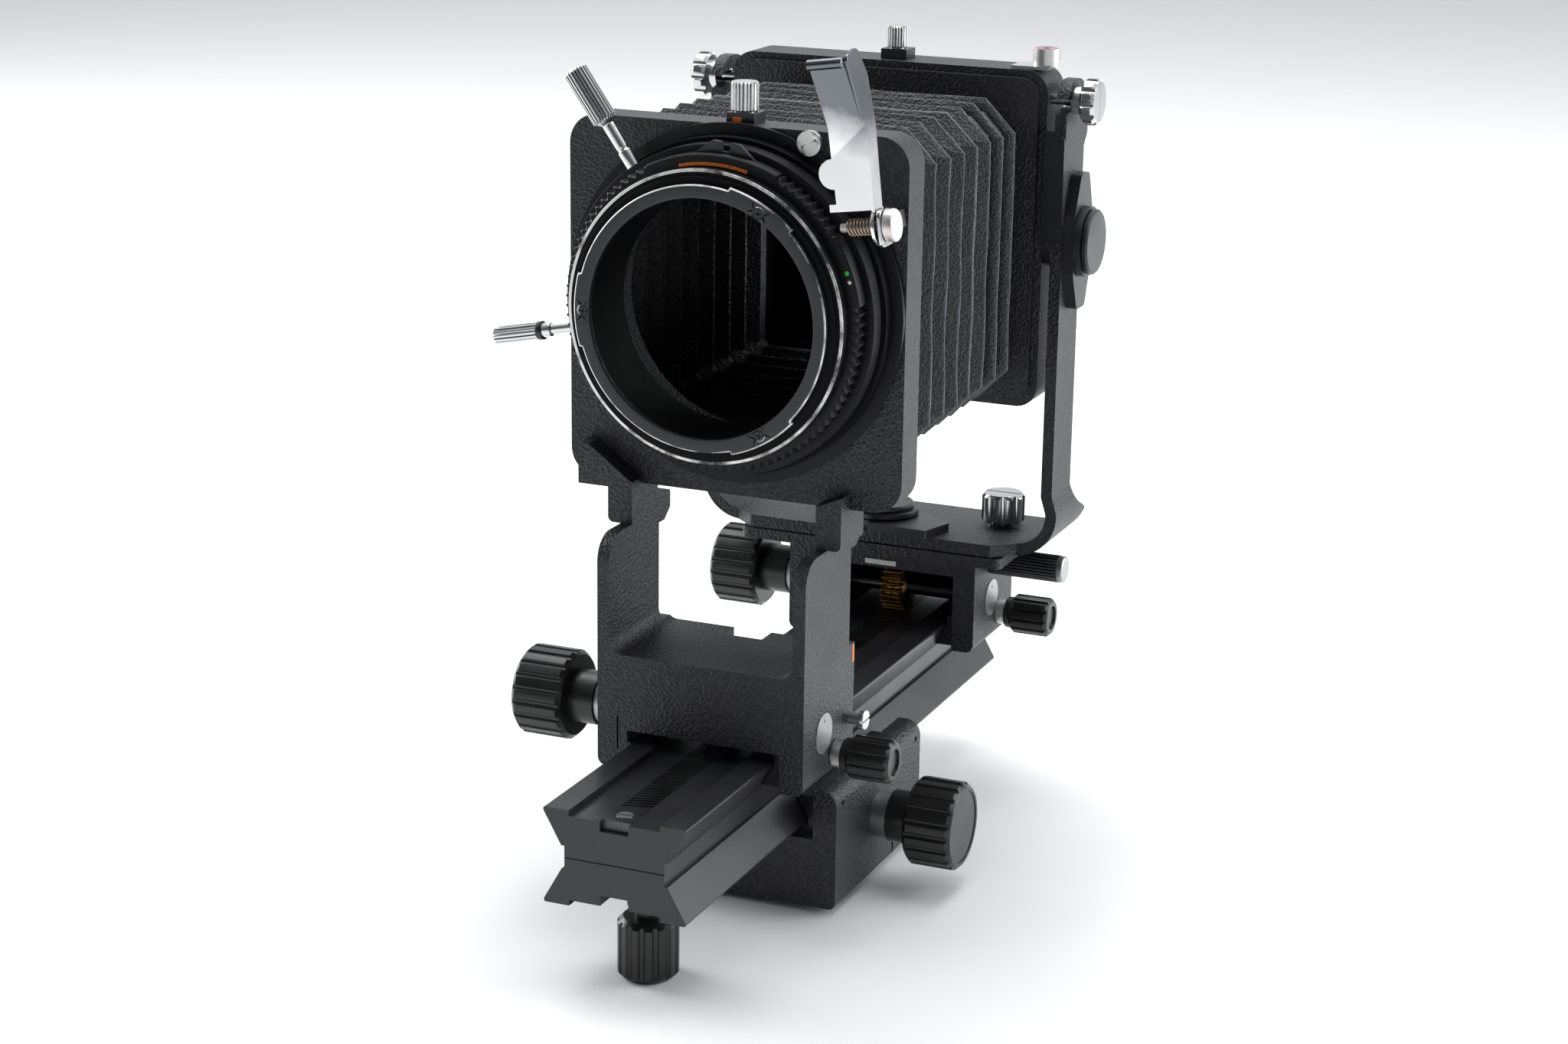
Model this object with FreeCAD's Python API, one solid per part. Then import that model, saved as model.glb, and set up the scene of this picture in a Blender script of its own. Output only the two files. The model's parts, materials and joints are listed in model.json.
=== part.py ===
import FreeCAD, Part
import math
import os

# Macro bellows unit: a double dovetail rail slides on a tripod block, and a front standard and a rear
# carriage slide on the rail. The rear carriage carries a swinging, tilting yoke with the rear frame.
# Lengths are in millimetres. Everything is laid out from the front end of the upper rail's top face,
# X to the right, Y to the back and Z up, and moved at the end so that the tripod socket is the origin.

# Rails
RAIL_LENGTH = 292.0
RAIL_HALF = 25.0
RAIL_DEPTH = 16.3
RIDGE_INNER = 16.0
RECESS = 1.9
GROOVE_HALF = 5.0
GROOVE_DEPTH = 5.4
EDGE_HEIGHT = 1.2
FLANK_BOTTOM = 12.3
FLANK_FOOT = 18.7
NECK_HALF = 17.6

# Rack and pinion
MODULE = 0.75
PINION_TEETH = 26
PRESSURE_ANGLE = math.radians(20)
RACK_TOP = -1.8
RACK_HALF = 4.95
RACK_FIRST_GAP = 17.0
RACK_TEETH = 110
SCREW_INSET = 6.0
RACK_END = RACK_FIRST_GAP + RACK_TEETH * math.pi * MODULE + 2 * SCREW_INSET
UPPER_RACK_Y = (2.0, RACK_END)
LOWER_RACK_Y = (45.0, RACK_END)
MESH_GAP = 0.05
TOOTH_BACKLASH = 0.12
SHAFT_R = 3.0
KNOB_R = 15.6
RUN_FIT = 0.05

# Carriages
CARRIAGE_HALF = 37.6
WALL_INNER = 29.0
SLOT_LEFT = -26.5
SLIDE_GAP = 0.2
GIB_TIP = WALL_INNER + 0.05
RAIL_TIP = RAIL_HALF + 0.4
LOCK_SCREW_END = 50.1
CARRIAGE_BOTTOM = -9.5
FRONT_Y = (64.0, 103.0)
FRONT_PINION_Y = 81.8
FRONT_LOCK = (91.8, -3.0)
REAR_Y = (229.5, 273.0)
REAR_PINION_Y = 249.4
REAR_LOCK = (258.2, -0.6)
REAR_OPENING_TOP = 19.6
REAR_WALL = 264.0
REAR_WALL_FOOT = 0.6
OPENING_TOP = 4.2
SWING_ROD = (245.0, 23.4)

# Front standard and lens panel
STANDARD_FLOOR = 30.6
ARM_INNER = 33.3
PAD_FRONT = 81.7
PLATE_HALF = 60.0
PLATE_Y = (89.8, 103.3)
PLATE_Z = (83.3, 206.9)
LENS_Z = 148.07
THROAT_R = 39.24
PANEL_DISC_R = 59.9
PANEL_DISC_Y = 87.85
FLANGE_Y = 61.8
BARREL_R = 46.0
LEVER_RING_Y = (76.3, 82.7)
FLANGE_SCREWS = (61, 181, 301)

# Tripod block
BLOCK_Y = (94.6, 175.0)
BLOCK_BOTTOM = -61.6
BLOCK_TOP = -18.5
BLOCK_PINION_Y = 134.8
BLOCK_LOCK = (157.0, -4.0)
SOCKET_R = 4.76
SOCKET_DEPTH = 9.0

# Rear yoke and rear frame
SWING_Y = 230.0
YOKE_FRONT = 215.0
YOKE_REAR = 260.0
YOKE_BOTTOM = 33.7
YOKE_PLATE = 4.5
SWING_DISC_Z = YOKE_BOTTOM + YOKE_PLATE + 3.3
YOKE_HALF = 68.8
ARM_Y = (222.0, 243.5)
YOKE_TOP = 209.0
SWING_BASE_Z = (29.1, 33.1)
SWING_KNOB = (42.6, 245.0)
TILT_Y = 234.0
TILT_Z = 150.8
TILT_KNOB_Y = 231.0
TILT_KNOB_Z = 201.5
FRAME_HALF = 60.75
FRAME_Y = (222.0, 243.0)
FRAME_Z = (89.6, 212.0)
FRAME_WELL = 46.0
FILM_GATE = 30.0
GATE_DEPTH = 3.0

# Bellows
BELLOWS_HALF = 56.0
BELLOWS_INNER = 47.0
BELLOWS_Z = 149.0
BELLOWS_CHAMFER = 12.0

TO_ORIGIN = FreeCAD.Vector(0, -sum(BLOCK_Y) / 2, -BLOCK_BOTTOM)


def vec(x, y, z):
    return FreeCAD.Vector(x, y, z)


X_AXIS = vec(1, 0, 0)
Y_AXIS = vec(0, 1, 0)
Z_AXIS = vec(0, 0, 1)


def box(x0, x1, y0, y1, z0, z1):
    return Part.makeBox(x1 - x0, y1 - y0, z1 - z0, vec(x0, y0, z0))


def rod(start, axis, radius, length):
    return Part.makeCylinder(radius, length, start, axis)


def tube(start, axis, outer, inner, length):
    return rod(start, axis, outer, length).cut(rod(start, axis, inner, length))


def corner_arc(before, here, after, radius):
    """Start, middle and end of the arc that rounds one corner."""
    back = (before - here).normalize()
    ahead = (after - here).normalize()
    half = back.getAngle(ahead) / 2
    reach = radius / math.tan(half)
    inward = (back + ahead).normalize()
    middle = here + inward * (radius / math.sin(half) - radius)
    return here + back * reach, middle, here + ahead * reach


def prism(corners, plane, start, depth):
    """Solid with a cornered outline in a plane. A third number on a corner is its rounding radius."""
    place = {"xz": lambda a, b: vec(a, start, b),
             "yz": lambda a, b: vec(start, a, b),
             "xy": lambda a, b: vec(a, b, start)}[plane]
    push = {"xz": Y_AXIS, "yz": X_AXIS, "xy": Z_AXIS}[plane] * depth
    points = [place(c[0], c[1]) for c in corners]
    stops = []
    for i, corner in enumerate(corners):
        if len(corner) == 3:
            stops.append(corner_arc(points[i - 1], points[i], points[(i + 1) % len(points)], corner[2]))
        else:
            stops.append((points[i], None, points[i]))
    edges = []
    for i, (first, middle, last) in enumerate(stops):
        if middle is not None:
            edges.append(Part.Arc(first, middle, last).toShape())
        following = stops[(i + 1) % len(stops)][0]
        if last.distanceToPoint(following) > 1e-6:
            edges.append(Part.makeLine(last, following))
    return Part.Face(Part.Wire(edges)).extrude(push)


def polygon_solid(points, push):
    return Part.Face(Part.makePolygon(points + [points[0]])).extrude(push)


def union(shapes):
    return shapes[0].multiFuse(shapes[1:]).removeSplitter()


def mirrored_x(shape):
    return shape.mirror(vec(0, 0, 0), X_AXIS)


def bevelled_rod(start, axis, radius, length, bevel):
    body = rod(start, axis, radius, length)
    rims = [edge for edge in body.Edges if edge.Curve.TypeId == "Part::GeomCircle"]
    return body.makeChamfer(bevel, rims)


def side_of(axis):
    return Y_AXIS if abs(axis.x) > 0.5 else X_AXIS


def fluted_rod(start, axis, radius, length, flutes, groove, bevel):
    """Grip with rounded grooves along its length and bevelled ends."""
    body = bevelled_rod(start, axis, radius, length, bevel)
    tools = []
    for i in range(flutes):
        tool = rod(start + side_of(axis) * (radius + 0.3 * groove), axis, groove, length)
        tool.rotate(start, axis, 360.0 * i / flutes)
        tools.append(tool)
    return body.cut(tools)


def save(name, shape):
    moved = shape.copy()
    moved.translate(TO_ORIGIN)
    moved.exportStep("parts/" + name + ".step")
    print(name, len(moved.Solids), "solids", round(moved.Volume), "mm3", moved.isValid())


# ---------------------------------------------------------------- rails

def rail_section(flip):
    """Half outline mirrored left to right. The lower rail is the upper one turned over."""
    half = [(GROOVE_HALF, -GROOVE_DEPTH), (GROOVE_HALF, -RECESS), (RIDGE_INNER, -RECESS), (RIDGE_INNER, 0),
            (RAIL_HALF, 0, 0.6), (RAIL_HALF, -EDGE_HEIGHT), (FLANK_FOOT, -FLANK_BOTTOM),
            (NECK_HALF, -FLANK_BOTTOM), (NECK_HALF, -RAIL_DEPTH)]
    other = [(-c[0],) + c[1:] for c in reversed(half)]
    corners = half + other
    if flip:
        corners = [(c[0], -2 * RAIL_DEPTH - c[1]) + c[2:] for c in corners]
    return corners


def rail(flip):
    return prism(rail_section(flip), "xz", 0, RAIL_LENGTH)


def turned_over(shape):
    """Upper rail's fitting carried over to the lower rail."""
    return shape.mirror(vec(0, 0, -RAIL_DEPTH), Z_AXIS)


def rack(first_y, last_y):
    """Toothed strip from first_y to last_y with a screw hole near each end."""
    pitch = math.pi * MODULE
    slope = math.tan(PRESSURE_ANGLE)
    top_half = pitch / 4 + MODULE * slope + TOOTH_BACKLASH / 2
    foot_half = pitch / 4 - 1.25 * MODULE * slope + TOOTH_BACKLASH / 2
    root = RACK_TOP - 2.25 * MODULE
    outline = [vec(-RACK_HALF, first_y, -GROOVE_DEPTH), vec(-RACK_HALF, first_y, RACK_TOP)]
    gaps = [RACK_FIRST_GAP + i * pitch for i in range(RACK_TEETH)]
    for middle in [gap for gap in gaps if gap > first_y + 2 * SCREW_INSET]:
        outline += [vec(-RACK_HALF, middle - top_half, RACK_TOP), vec(-RACK_HALF, middle - foot_half, root),
                    vec(-RACK_HALF, middle + foot_half, root), vec(-RACK_HALF, middle + top_half, RACK_TOP)]
    outline += [vec(-RACK_HALF, last_y, RACK_TOP), vec(-RACK_HALF, last_y, -GROOVE_DEPTH)]
    strip = polygon_solid(outline, X_AXIS * 2 * RACK_HALF)
    ends = (first_y + SCREW_INSET, last_y - SCREW_INSET)
    return strip.cut([rod(vec(0, y, -GROOVE_DEPTH), Z_AXIS, 2.0, 5) for y in ends])


def rack_screws(first_y, last_y):
    heads = []
    for y in (first_y + SCREW_INSET, last_y - SCREW_INSET):
        screw = rod(vec(0, y, -GROOVE_DEPTH), Z_AXIS, 2.0, -RACK_TOP + 1.6)
        heads.append(screw.cut(box(-2.2, 2.2, y - 0.35, y + 0.35, RACK_TOP - 0.9, RACK_TOP + 1)))
    return heads


def pinion_centre_z():
    return RACK_TOP - MODULE + PINION_TEETH * MODULE / 2 + MESH_GAP


def pinion(centre_y, width):
    """Involute pinion over the rack, turned so that its lowest tooth sits in a gap."""
    pitch_r = PINION_TEETH * MODULE / 2
    base_r = pitch_r * math.cos(PRESSURE_ANGLE)
    pitch = math.pi * MODULE
    offset = (RACK_FIRST_GAP - centre_y) % pitch
    lowest = -math.pi / 2 + offset / pitch_r
    half_at_pitch = math.pi / (2 * PINION_TEETH) + math.tan(PRESSURE_ANGLE) - PRESSURE_ANGLE
    tip_r = pitch_r + MODULE
    radii = [pitch_r - 1.2 * MODULE, base_r, pitch_r - 0.3 * MODULE, pitch_r, pitch_r + MODULE / 2, tip_r]
    flank = []
    for r in radii:
        roll = math.acos(min(1.0, base_r / r))
        flank.append((r, half_at_pitch - (math.tan(roll) - roll)))
    points = []
    centre = vec(-width / 2, centre_y, pinion_centre_z())
    for i in range(PINION_TEETH):
        middle = lowest + 2 * math.pi * i / PINION_TEETH
        around = [(r, middle - a) for r, a in flank] + [(r, middle + a) for r, a in reversed(flank)]
        points += [centre + vec(0, r * math.cos(t), r * math.sin(t)) for r, t in around]
    return polygon_solid(points, X_AXIS * width)


def pinion_shaft(centre_y):
    """Pinion in the middle, journal to the right bearing and a long end for the left knob."""
    start = vec(-60.0, centre_y, pinion_centre_z())
    return union([pinion(centre_y, 8.0), rod(start, X_AXIS, SHAFT_R, 60.0 + 35.4)])


def shaft_room(centre_y):
    """Everything a carriage leaves free for its pinion shaft, its bearing disc and the pinion."""
    z = pinion_centre_z()
    bore = rod(vec(-CARRIAGE_HALF - 1, centre_y, z), X_AXIS, SHAFT_R + RUN_FIT, 2 * CARRIAGE_HALF + 2)
    pocket = rod(vec(-6, centre_y, z), X_AXIS, 11.2, 12)
    disc_seat = rod(vec(35.5, centre_y, z), X_AXIS, 7.1, 3)
    return [bore, pocket, disc_seat]


def bearing_disc(centre_y):
    z = pinion_centre_z()
    disc = rod(vec(35.5, centre_y, z), X_AXIS, 7.0, 2.3)
    return disc.cut([rod(vec(37.0, centre_y, z + dz), X_AXIS, 0.55, 2) for dz in (-4.2, 4.2)])


def focus_knob(centre_y, neck_start, body_start, body_length):
    """Left-hand knob: a plain neck, then the fluted grip with a shallow seat for its cap."""
    z = pinion_centre_z()
    neck = rod(vec(body_start, centre_y, z), X_AXIS, 9.3, neck_start - body_start)
    outer = body_start - body_length
    body = fluted_rod(vec(outer, centre_y, z), X_AXIS, KNOB_R, body_length, 20, 1.25, 1.6)
    knob = union([neck, body])
    return knob.cut([rod(vec(outer, centre_y, z), X_AXIS, 12.7, 1.2),
                     rod(vec(-60.0, centre_y, z), X_AXIS, SHAFT_R, 40)])


def knob_cap(centre_y, outer):
    return rod(vec(outer + 0.3, centre_y, pinion_centre_z()), X_AXIS, 12.6, 0.85)


def focus_collar(centre_y, length):
    start = vec(-CARRIAGE_HALF - length, centre_y, pinion_centre_z())
    return tube(start, X_AXIS, 8.3, SHAFT_R + RUN_FIT, length)


# ---------------------------------------------------------------- parts shared by the three carriages

def rail_slot(y0, y1, top):
    """Dovetail passage: it follows the rail on the left, and leaves room for the gib on the right."""
    gap = SLIDE_GAP
    corners = [(SLOT_LEFT, top), (SLOT_LEFT, gap), (-RAIL_HALF - gap, gap), (-RAIL_HALF - gap, -EDGE_HEIGHT),
               (-FLANK_FOOT - gap, -FLANK_BOTTOM), (-FLANK_FOOT - gap, -RAIL_DEPTH),
               (WALL_INNER, -RAIL_DEPTH), (WALL_INNER, top)]
    return prism(corners, "xz", y0 - 1, y1 - y0 + 2)


def gib(y0, y1):
    """Jaw strip between the right wall and the rail's dovetail."""
    gap = SLIDE_GAP
    slope = (RAIL_HALF - FLANK_FOOT) / (FLANK_BOTTOM - EDGE_HEIGHT)
    foot = RAIL_HALF + gap - slope * (-CARRIAGE_BOTTOM - 0.2 - EDGE_HEIGHT)
    corners = [(RAIL_HALF + gap, 2.5), (WALL_INNER - 0.05, 2.5), (WALL_INNER - 0.05, CARRIAGE_BOTTOM + 0.2),
               (foot, CARRIAGE_BOTTOM + 0.2), (RAIL_HALF + gap, -EDGE_HEIGHT)]
    return prism(corners, "xz", y0 + 5, y1 - y0 - 10)


def lock_bore(place, tip_x):
    return rod(vec(tip_x - 1, *place), X_AXIS, 2.5 + RUN_FIT, CARRIAGE_HALF + 2 - tip_x)


def lock_screw(place, tip_x):
    """Bright clamp screw with its collar outside the wall."""
    screw = rod(vec(tip_x, *place), X_AXIS, 2.5, LOCK_SCREW_END - tip_x)
    return union([screw, rod(vec(CARRIAGE_HALF + 0.2, *place), X_AXIS, 4.9, 3.4)])


def lock_knob(place):
    start = CARRIAGE_HALF + 3.6
    shoulder = bevelled_rod(vec(start, *place), X_AXIS, 6.0, 4.5, 0.6)
    grip = fluted_rod(vec(start + 2.6, *place), X_AXIS, 7.5, 15.5, 12, 1.0, 1.3)
    knob = union([shoulder, grip])
    return knob.cut([rod(vec(start + 17.2, *place), X_AXIS, 4.6, 2),
                     rod(vec(start - 1, *place), X_AXIS, 2.5, LOCK_SCREW_END - start + 1)])


# ---------------------------------------------------------------- tripod block

def on_block(shape):
    """Turns a fitting over and mirrors it: the block's knob is on the right and its lock on the left."""
    return mirrored_x(turned_over(shape))


def tripod_block():
    y0, y1 = BLOCK_Y
    corners = [(-CARRIAGE_HALF, BLOCK_BOTTOM, 2.5), (CARRIAGE_HALF, BLOCK_BOTTOM, 2.5),
               (CARRIAGE_HALF, BLOCK_TOP, 5.5), (-CARRIAGE_HALF, BLOCK_TOP, 5.5)]
    body = prism(corners, "xz", y0, y1 - y0)
    fittings = shaft_room(BLOCK_PINION_Y) + [lock_bore(BLOCK_LOCK, RAIL_TIP)]
    body = body.cut([on_block(shape) for shape in fittings] + [turned_over(rail_slot(y0, y1, OPENING_TOP))])
    slit = box(0, CARRIAGE_HALF + 1, 148.4, 149.8, BLOCK_BOTTOM - 1, BLOCK_BOTTOM + 6.6)
    holes = [rod(vec(WALL_INNER, y, -24.1), X_AXIS, 1.0, 10) for y in (y0 + 6, y1 - 4.6)]
    seat = rod(vec(0, sum(BLOCK_Y) / 2, BLOCK_BOTTOM), Z_AXIS, 7.0, SOCKET_DEPTH)
    return body.cut([slit, seat] + holes)


def tripod_socket():
    """Threaded bush for the tripod screw, flush with the block's underside."""
    return tube(vec(0, sum(BLOCK_Y) / 2, BLOCK_BOTTOM), Z_AXIS, 7.0, SOCKET_R, SOCKET_DEPTH)


# ---------------------------------------------------------------- front standard

def arm_side():
    """Side outline of the front standard's arms: a round shoulder, then the set-back upper pad."""
    y0, y1 = FRONT_Y
    return [(y0, CARRIAGE_BOTTOM), (y0, 70.8, 9), (PAD_FRONT, 70.8), (PAD_FRONT, 90.0), (y1 - 1, 90.0),
            (y1 - 1, 76.0), (y1 + 9, 76.0, 1.5), (y1 + 9, 69.6, 1.5), (y1 + 4.5, 66.0), (y1, 66.0),
            (y1, 31.7), (y1 + 5, 31.7), (y1 + 5, CARRIAGE_BOTTOM)]


def front_standard():
    y0, y1 = FRONT_Y
    half = CARRIAGE_HALF
    u_shape = prism([(-half, CARRIAGE_BOTTOM, 3), (half, CARRIAGE_BOTTOM, 3), (half, 85.5), (ARM_INNER, 85.5),
                     (ARM_INNER, STANDARD_FLOOR, 5), (-ARM_INNER, STANDARD_FLOOR, 5), (-ARM_INNER, 85.5),
                     (-half, 85.5)], "xz", y0, y1 - y0 + 9)
    body = u_shape.common(prism(arm_side(), "yz", -half - 1, 2 * half + 2))
    pad_right = prism([(ARM_INNER, 70.8), (42.3, 70.8, 2), (42.3, 89.0), (ARM_INNER, 85.2)], "xz",
                      PAD_FRONT, 20)
    pad_left = prism([(-ARM_INNER, 70.8), (-42.3, 70.8, 2), (-42.3, 83.0), (-53.4, 83.0), (-53.4, 97.0),
                      (-49.5, 97.0), (-ARM_INNER, 85.2)], "xz", PAD_FRONT, 8.1)
    heel_left = box(-42.3, -ARM_INNER, PAD_FRONT, PAD_FRONT + 20, 73.0, 83.0)
    body = union([body, pad_right, pad_left, heel_left])
    plate_room = box(-70, 70, PLATE_Y[0], PLATE_Y[1] + 12, PLATE_Z[0], 110)
    notch = prism([(-7, 40), (-7, 27.5), (-4, 24.5), (4, 24.5), (7, 27.5), (7, 40)], "xz", y1 - 3.5, 12)
    slit = box(-30.4, -29.8, y0 - 1, y1 + 6, -2.8, 9.0)
    tools = [plate_room, notch, slit, rail_slot(y0, y1 + 9, OPENING_TOP), lock_bore(FRONT_LOCK, GIB_TIP),
             clamp_screw_bore()]
    return body.cut(tools + shaft_room(FRONT_PINION_Y))


def clamp_screw_bore():
    return rod(vec(30.0, 103.5, 5.9), X_AXIS, 1.5, 10)


def clamp_screw():
    """Small slotted screw in the right wall that stops the pinion shaft's bush."""
    shank = rod(vec(30.0, 103.5, 5.9), X_AXIS, 1.5, 12)
    sleeve = rod(vec(CARRIAGE_HALF, 103.5, 5.9), X_AXIS, 2.1, 4.6)
    head = bevelled_rod(vec(CARRIAGE_HALF + 4.6, 103.5, 5.9), X_AXIS, 3.5, 2.0, 0.3)
    slot = box(CARRIAGE_HALF + 5.8, CARRIAGE_HALF + 7, 99, 108, 5.5, 6.3)
    return union([shank, sleeve, head]).cut(slot)


def lens_point(radius, degrees, y):
    angle = math.radians(degrees)
    return vec(radius * math.cos(angle), y, LENS_Z + radius * math.sin(angle))


def front_plate():
    z0, z1 = PLATE_Z
    half = PLATE_HALF
    plate = prism([(-half, z0, 10), (half, z0, 10), (half, z1, 10), (-half, z1, 10)], "xz",
                  PLATE_Y[0], PLATE_Y[1] - PLATE_Y[0])
    return plate.cut([rod(vec(0, PLATE_Y[0] - 1, LENS_Z), Y_AXIS, 44.0, 30),
                      rod(vec(0, 96.5, z1 - 12), Z_AXIS, 1.5 + RUN_FIT, 13)])


def lens_ring(outer, inner, y0, y1):
    return tube(vec(0, y0, LENS_Z), Y_AXIS, outer, inner, y1 - y0)


def panel_disc():
    return lens_ring(PANEL_DISC_R, 44.0, PANEL_DISC_Y, PLATE_Y[0])


def mount_barrel():
    """Fixed barrel that carries the bayonet: one tube, a front rim and a rear shoulder."""
    return union([lens_ring(BARREL_R, THROAT_R, FLANGE_Y + 2.4, PANEL_DISC_Y),
                  lens_ring(48.2, THROAT_R, 65.2, 69.4), lens_ring(56.0, BARREL_R - 1, 83.0, PANEL_DISC_Y)])


def bayonet_flange():
    """Front flange with three raised lugs on its rim and three screw seats."""
    flange = lens_ring(43.7, THROAT_R, FLANGE_Y, FLANGE_Y + 2.4)
    lugs = []
    for start in (45.0, 165.0, 285.0):
        wedge = polygon_solid([vec(0, FLANGE_Y, LENS_Z), lens_point(60, start, FLANGE_Y),
                               lens_point(60, start + 16, FLANGE_Y), lens_point(60, start + 32, FLANGE_Y)],
                              Y_AXIS * 2.4)
        lugs.append(lens_ring(44.8, 42.0, FLANGE_Y, FLANGE_Y + 2.4).common(wedge))
    flange = union([flange] + lugs)
    seats = [rod(lens_point(41.5, angle, FLANGE_Y - 1), Y_AXIS, 1.55, 4) for angle in FLANGE_SCREWS]
    return flange.cut(seats)


def flange_screws():
    screws = []
    for angle in FLANGE_SCREWS:
        screw = rod(lens_point(41.5, angle, FLANGE_Y + 0.1), Y_AXIS, 1.55, 2.3)
        point = lens_point(41.5, angle, FLANGE_Y)
        cross = [box(point.x - 1.1, point.x + 1.1, point.y - 1, point.y + 0.7, point.z - 0.2, point.z + 0.2),
                 box(point.x - 0.2, point.x + 0.2, point.y - 1, point.y + 0.7, point.z - 1.1, point.z + 1.1)]
        screws.append(screw.cut(cross))
    return screws


def grip_ring():
    """Turning ring with a toothed grip round most of its rim."""
    ring = lens_ring(52.3, BARREL_R + 0.1, 70.0, LEVER_RING_Y[0])
    teeth = []
    for angle in range(0, 360, 4):
        if 62 < angle < 118:
            continue
        tooth = rod(lens_point(52.9, angle, 69.0), Y_AXIS, 0.9, 4.5)
        teeth.append(tooth)
    return ring.cut(teeth)


def lever_ring():
    return lens_ring(54.5, BARREL_R + 0.1, *LEVER_RING_Y)


def ring_fork():
    """Two-pronged stop on top of the turning ring."""
    polar = [(100, 51.5), (91, 56.2), (88, 56.0), (87.3, 52.9), (85, 52.9), (84, 56.0), (81.5, 56.0),
             (73, 51.5)]
    points = [lens_point(r, angle, 73.6) for angle, r in polar]
    fork = polygon_solid(points, Y_AXIS * 1.6)
    return fork.cut(rod(vec(0, 70, LENS_Z), Y_AXIS, 52.35, 10))


def lever_frame(degrees):
    """Radial direction and starting point of a lever on the turning ring."""
    y = sum(LEVER_RING_Y) / 2
    direction = lens_point(1, degrees, y) - vec(0, y, LENS_Z)
    return vec(0, y, LENS_Z), direction


def ring_lever(degrees, shaft_r, head_r, head_start, tip):
    """Radial lever with a knurled head, screwed into the turning ring."""
    centre, direction = lever_frame(degrees)
    shaft = rod(centre + direction * 54.45, direction, shaft_r, head_start - 54.45)
    head = bevelled_rod(centre + direction * head_start, direction, head_r, tip - head_start, 0.5)
    return union([shaft, head])


def panel_button():
    """Clamp disc with two pin holes over the panel disc's rim."""
    button = rod(vec(26.9, 85.9, 203.5), Y_AXIS, 4.1, PANEL_DISC_Y - 85.9)
    holes = [rod(vec(26.9 + dx, 85.0, 203.5 + dz), Y_AXIS, 0.45, 2) for dx, dz in ((-2.2, -1.2), (2.2, 1.2))]
    return button.cut(holes)


def top_lock_block(z, centre_y):
    return box(-4.6, 5.4, centre_y - 4.5, centre_y + 4.5, z, z + 3.6).cut(
        rod(vec(0, centre_y, z - 1), Z_AXIS, 1.5 + RUN_FIT, 8))


def top_lock_knob(z, centre_y, radius, height):
    """Knurled bright screw on top of a frame."""
    grip = fluted_rod(vec(0, centre_y, z + 3.8), Z_AXIS, radius, height, 24, 0.28, 0.4)
    return union([grip, rod(vec(0, centre_y, z - 8), Z_AXIS, 1.5, 12)])


# ---------------------------------------------------------------- stop-down lever

STOP_PIVOT = vec(52.5, 72.5, 181.2)
STOP_ROLL = -8.0


def at_stop_lever(shape):
    """Carries a shape drawn about the pivot to its place on the panel."""
    placed = shape.copy()
    placed.rotate(vec(0, 0, 0), Y_AXIS, STOP_ROLL)
    placed.translate(STOP_PIVOT)
    return placed


def stop_lever():
    """Bent sheet lever: face plate, forward-leaning finger pad and a side cheek down to the pivot."""
    face = prism([(-7.6, 8.0), (4.0, 8.0), (4.0, 32.0), (-7.6, 32.0)], "xz", -4.0, 1.0)
    bump = rod(vec(-7.6, -4.0, 17.5), Y_AXIS, 4.8, 1.0)
    pad = prism([(-4.0, 32.0), (-3.0, 32.0), (-13.0, 53.0), (-14.0, 53.0)], "yz", -7.6, 11.6)
    roll = rod(vec(-7.6, -14.0, 52.6), X_AXIS, 1.7, 11.6)
    cheek = prism([(-4.0, 6.0), (-4.0, 32.0), (-13.6, 54.3, 2), (-4.0, 56.5, 4), (2.5, 47.0, 5),
                   (4.6, 32.0), (2.8, 6.0)], "yz", 4.0, 1.0)
    shelf = prism([(-4.0, 8.0), (-3.0, 8.0), (-3.0, 6.4), (2.0, 5.2), (2.0, 4.3), (-4.0, 5.6)], "yz",
                  -10.0, 14.0)
    hub = rod(vec(4.0, 0, 0), X_AXIS, 6.4, 1.0)
    neck = box(4.0, 5.0, -4.0, 2.8, 0.0, 7.0)
    eyelet = tube(vec(2.4, -5.0, 49.5), X_AXIS, 3.4, 1.4, 2.0)
    lever = union([face, bump, pad, roll, cheek, shelf, hub, neck, eyelet])
    return at_stop_lever(lever.cut(rod(vec(3.0, 0, 0), X_AXIS, 1.6 + RUN_FIT, 3)))


def stop_pin():
    """Pivot pin with its broad head, fixed in the bracket."""
    return at_stop_lever(union([rod(vec(-8.5, 0, 0), X_AXIS, 1.6, 15.5),
                                bevelled_rod(vec(7.0, 0, 0), X_AXIS, 5.4, 3.6, 0.5)]))


def stop_spring():
    return at_stop_lever(tube(vec(-6.0, 0, 0), X_AXIS, 2.9, 1.9, 9.6))


def stop_bracket():
    """Cheek plate from the front plate to the lever's pivot."""
    reach = PLATE_Y[0] - STOP_PIVOT.y
    cheek = prism([(-5.0, -6.5, 3), (reach, -6.5), (reach, 5.5), (-5.0, 5.5, 3)], "yz", 5.4, 1.6)
    return at_stop_lever(cheek.cut(rod(vec(4, 0, 0), X_AXIS, 1.6, 4)))


# ---------------------------------------------------------------- rail-end stop screw

STOP_SCREW_Y = 25.4
STOP_KNOB_Z = (-63.7, -42.7)


def stop_stud():
    """Stud with its clamp plate in the lower rail's groove."""
    lower = -2 * RAIL_DEPTH
    plate = box(-4.8, 4.8, STOP_SCREW_Y - 6, STOP_SCREW_Y + 6, lower + 2.5, lower + 5.3)
    stud_start = STOP_KNOB_Z[0] + 6
    return union([plate, rod(vec(0, STOP_SCREW_Y, stud_start), Z_AXIS, 2.5, lower + 4 - stud_start)])


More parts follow.
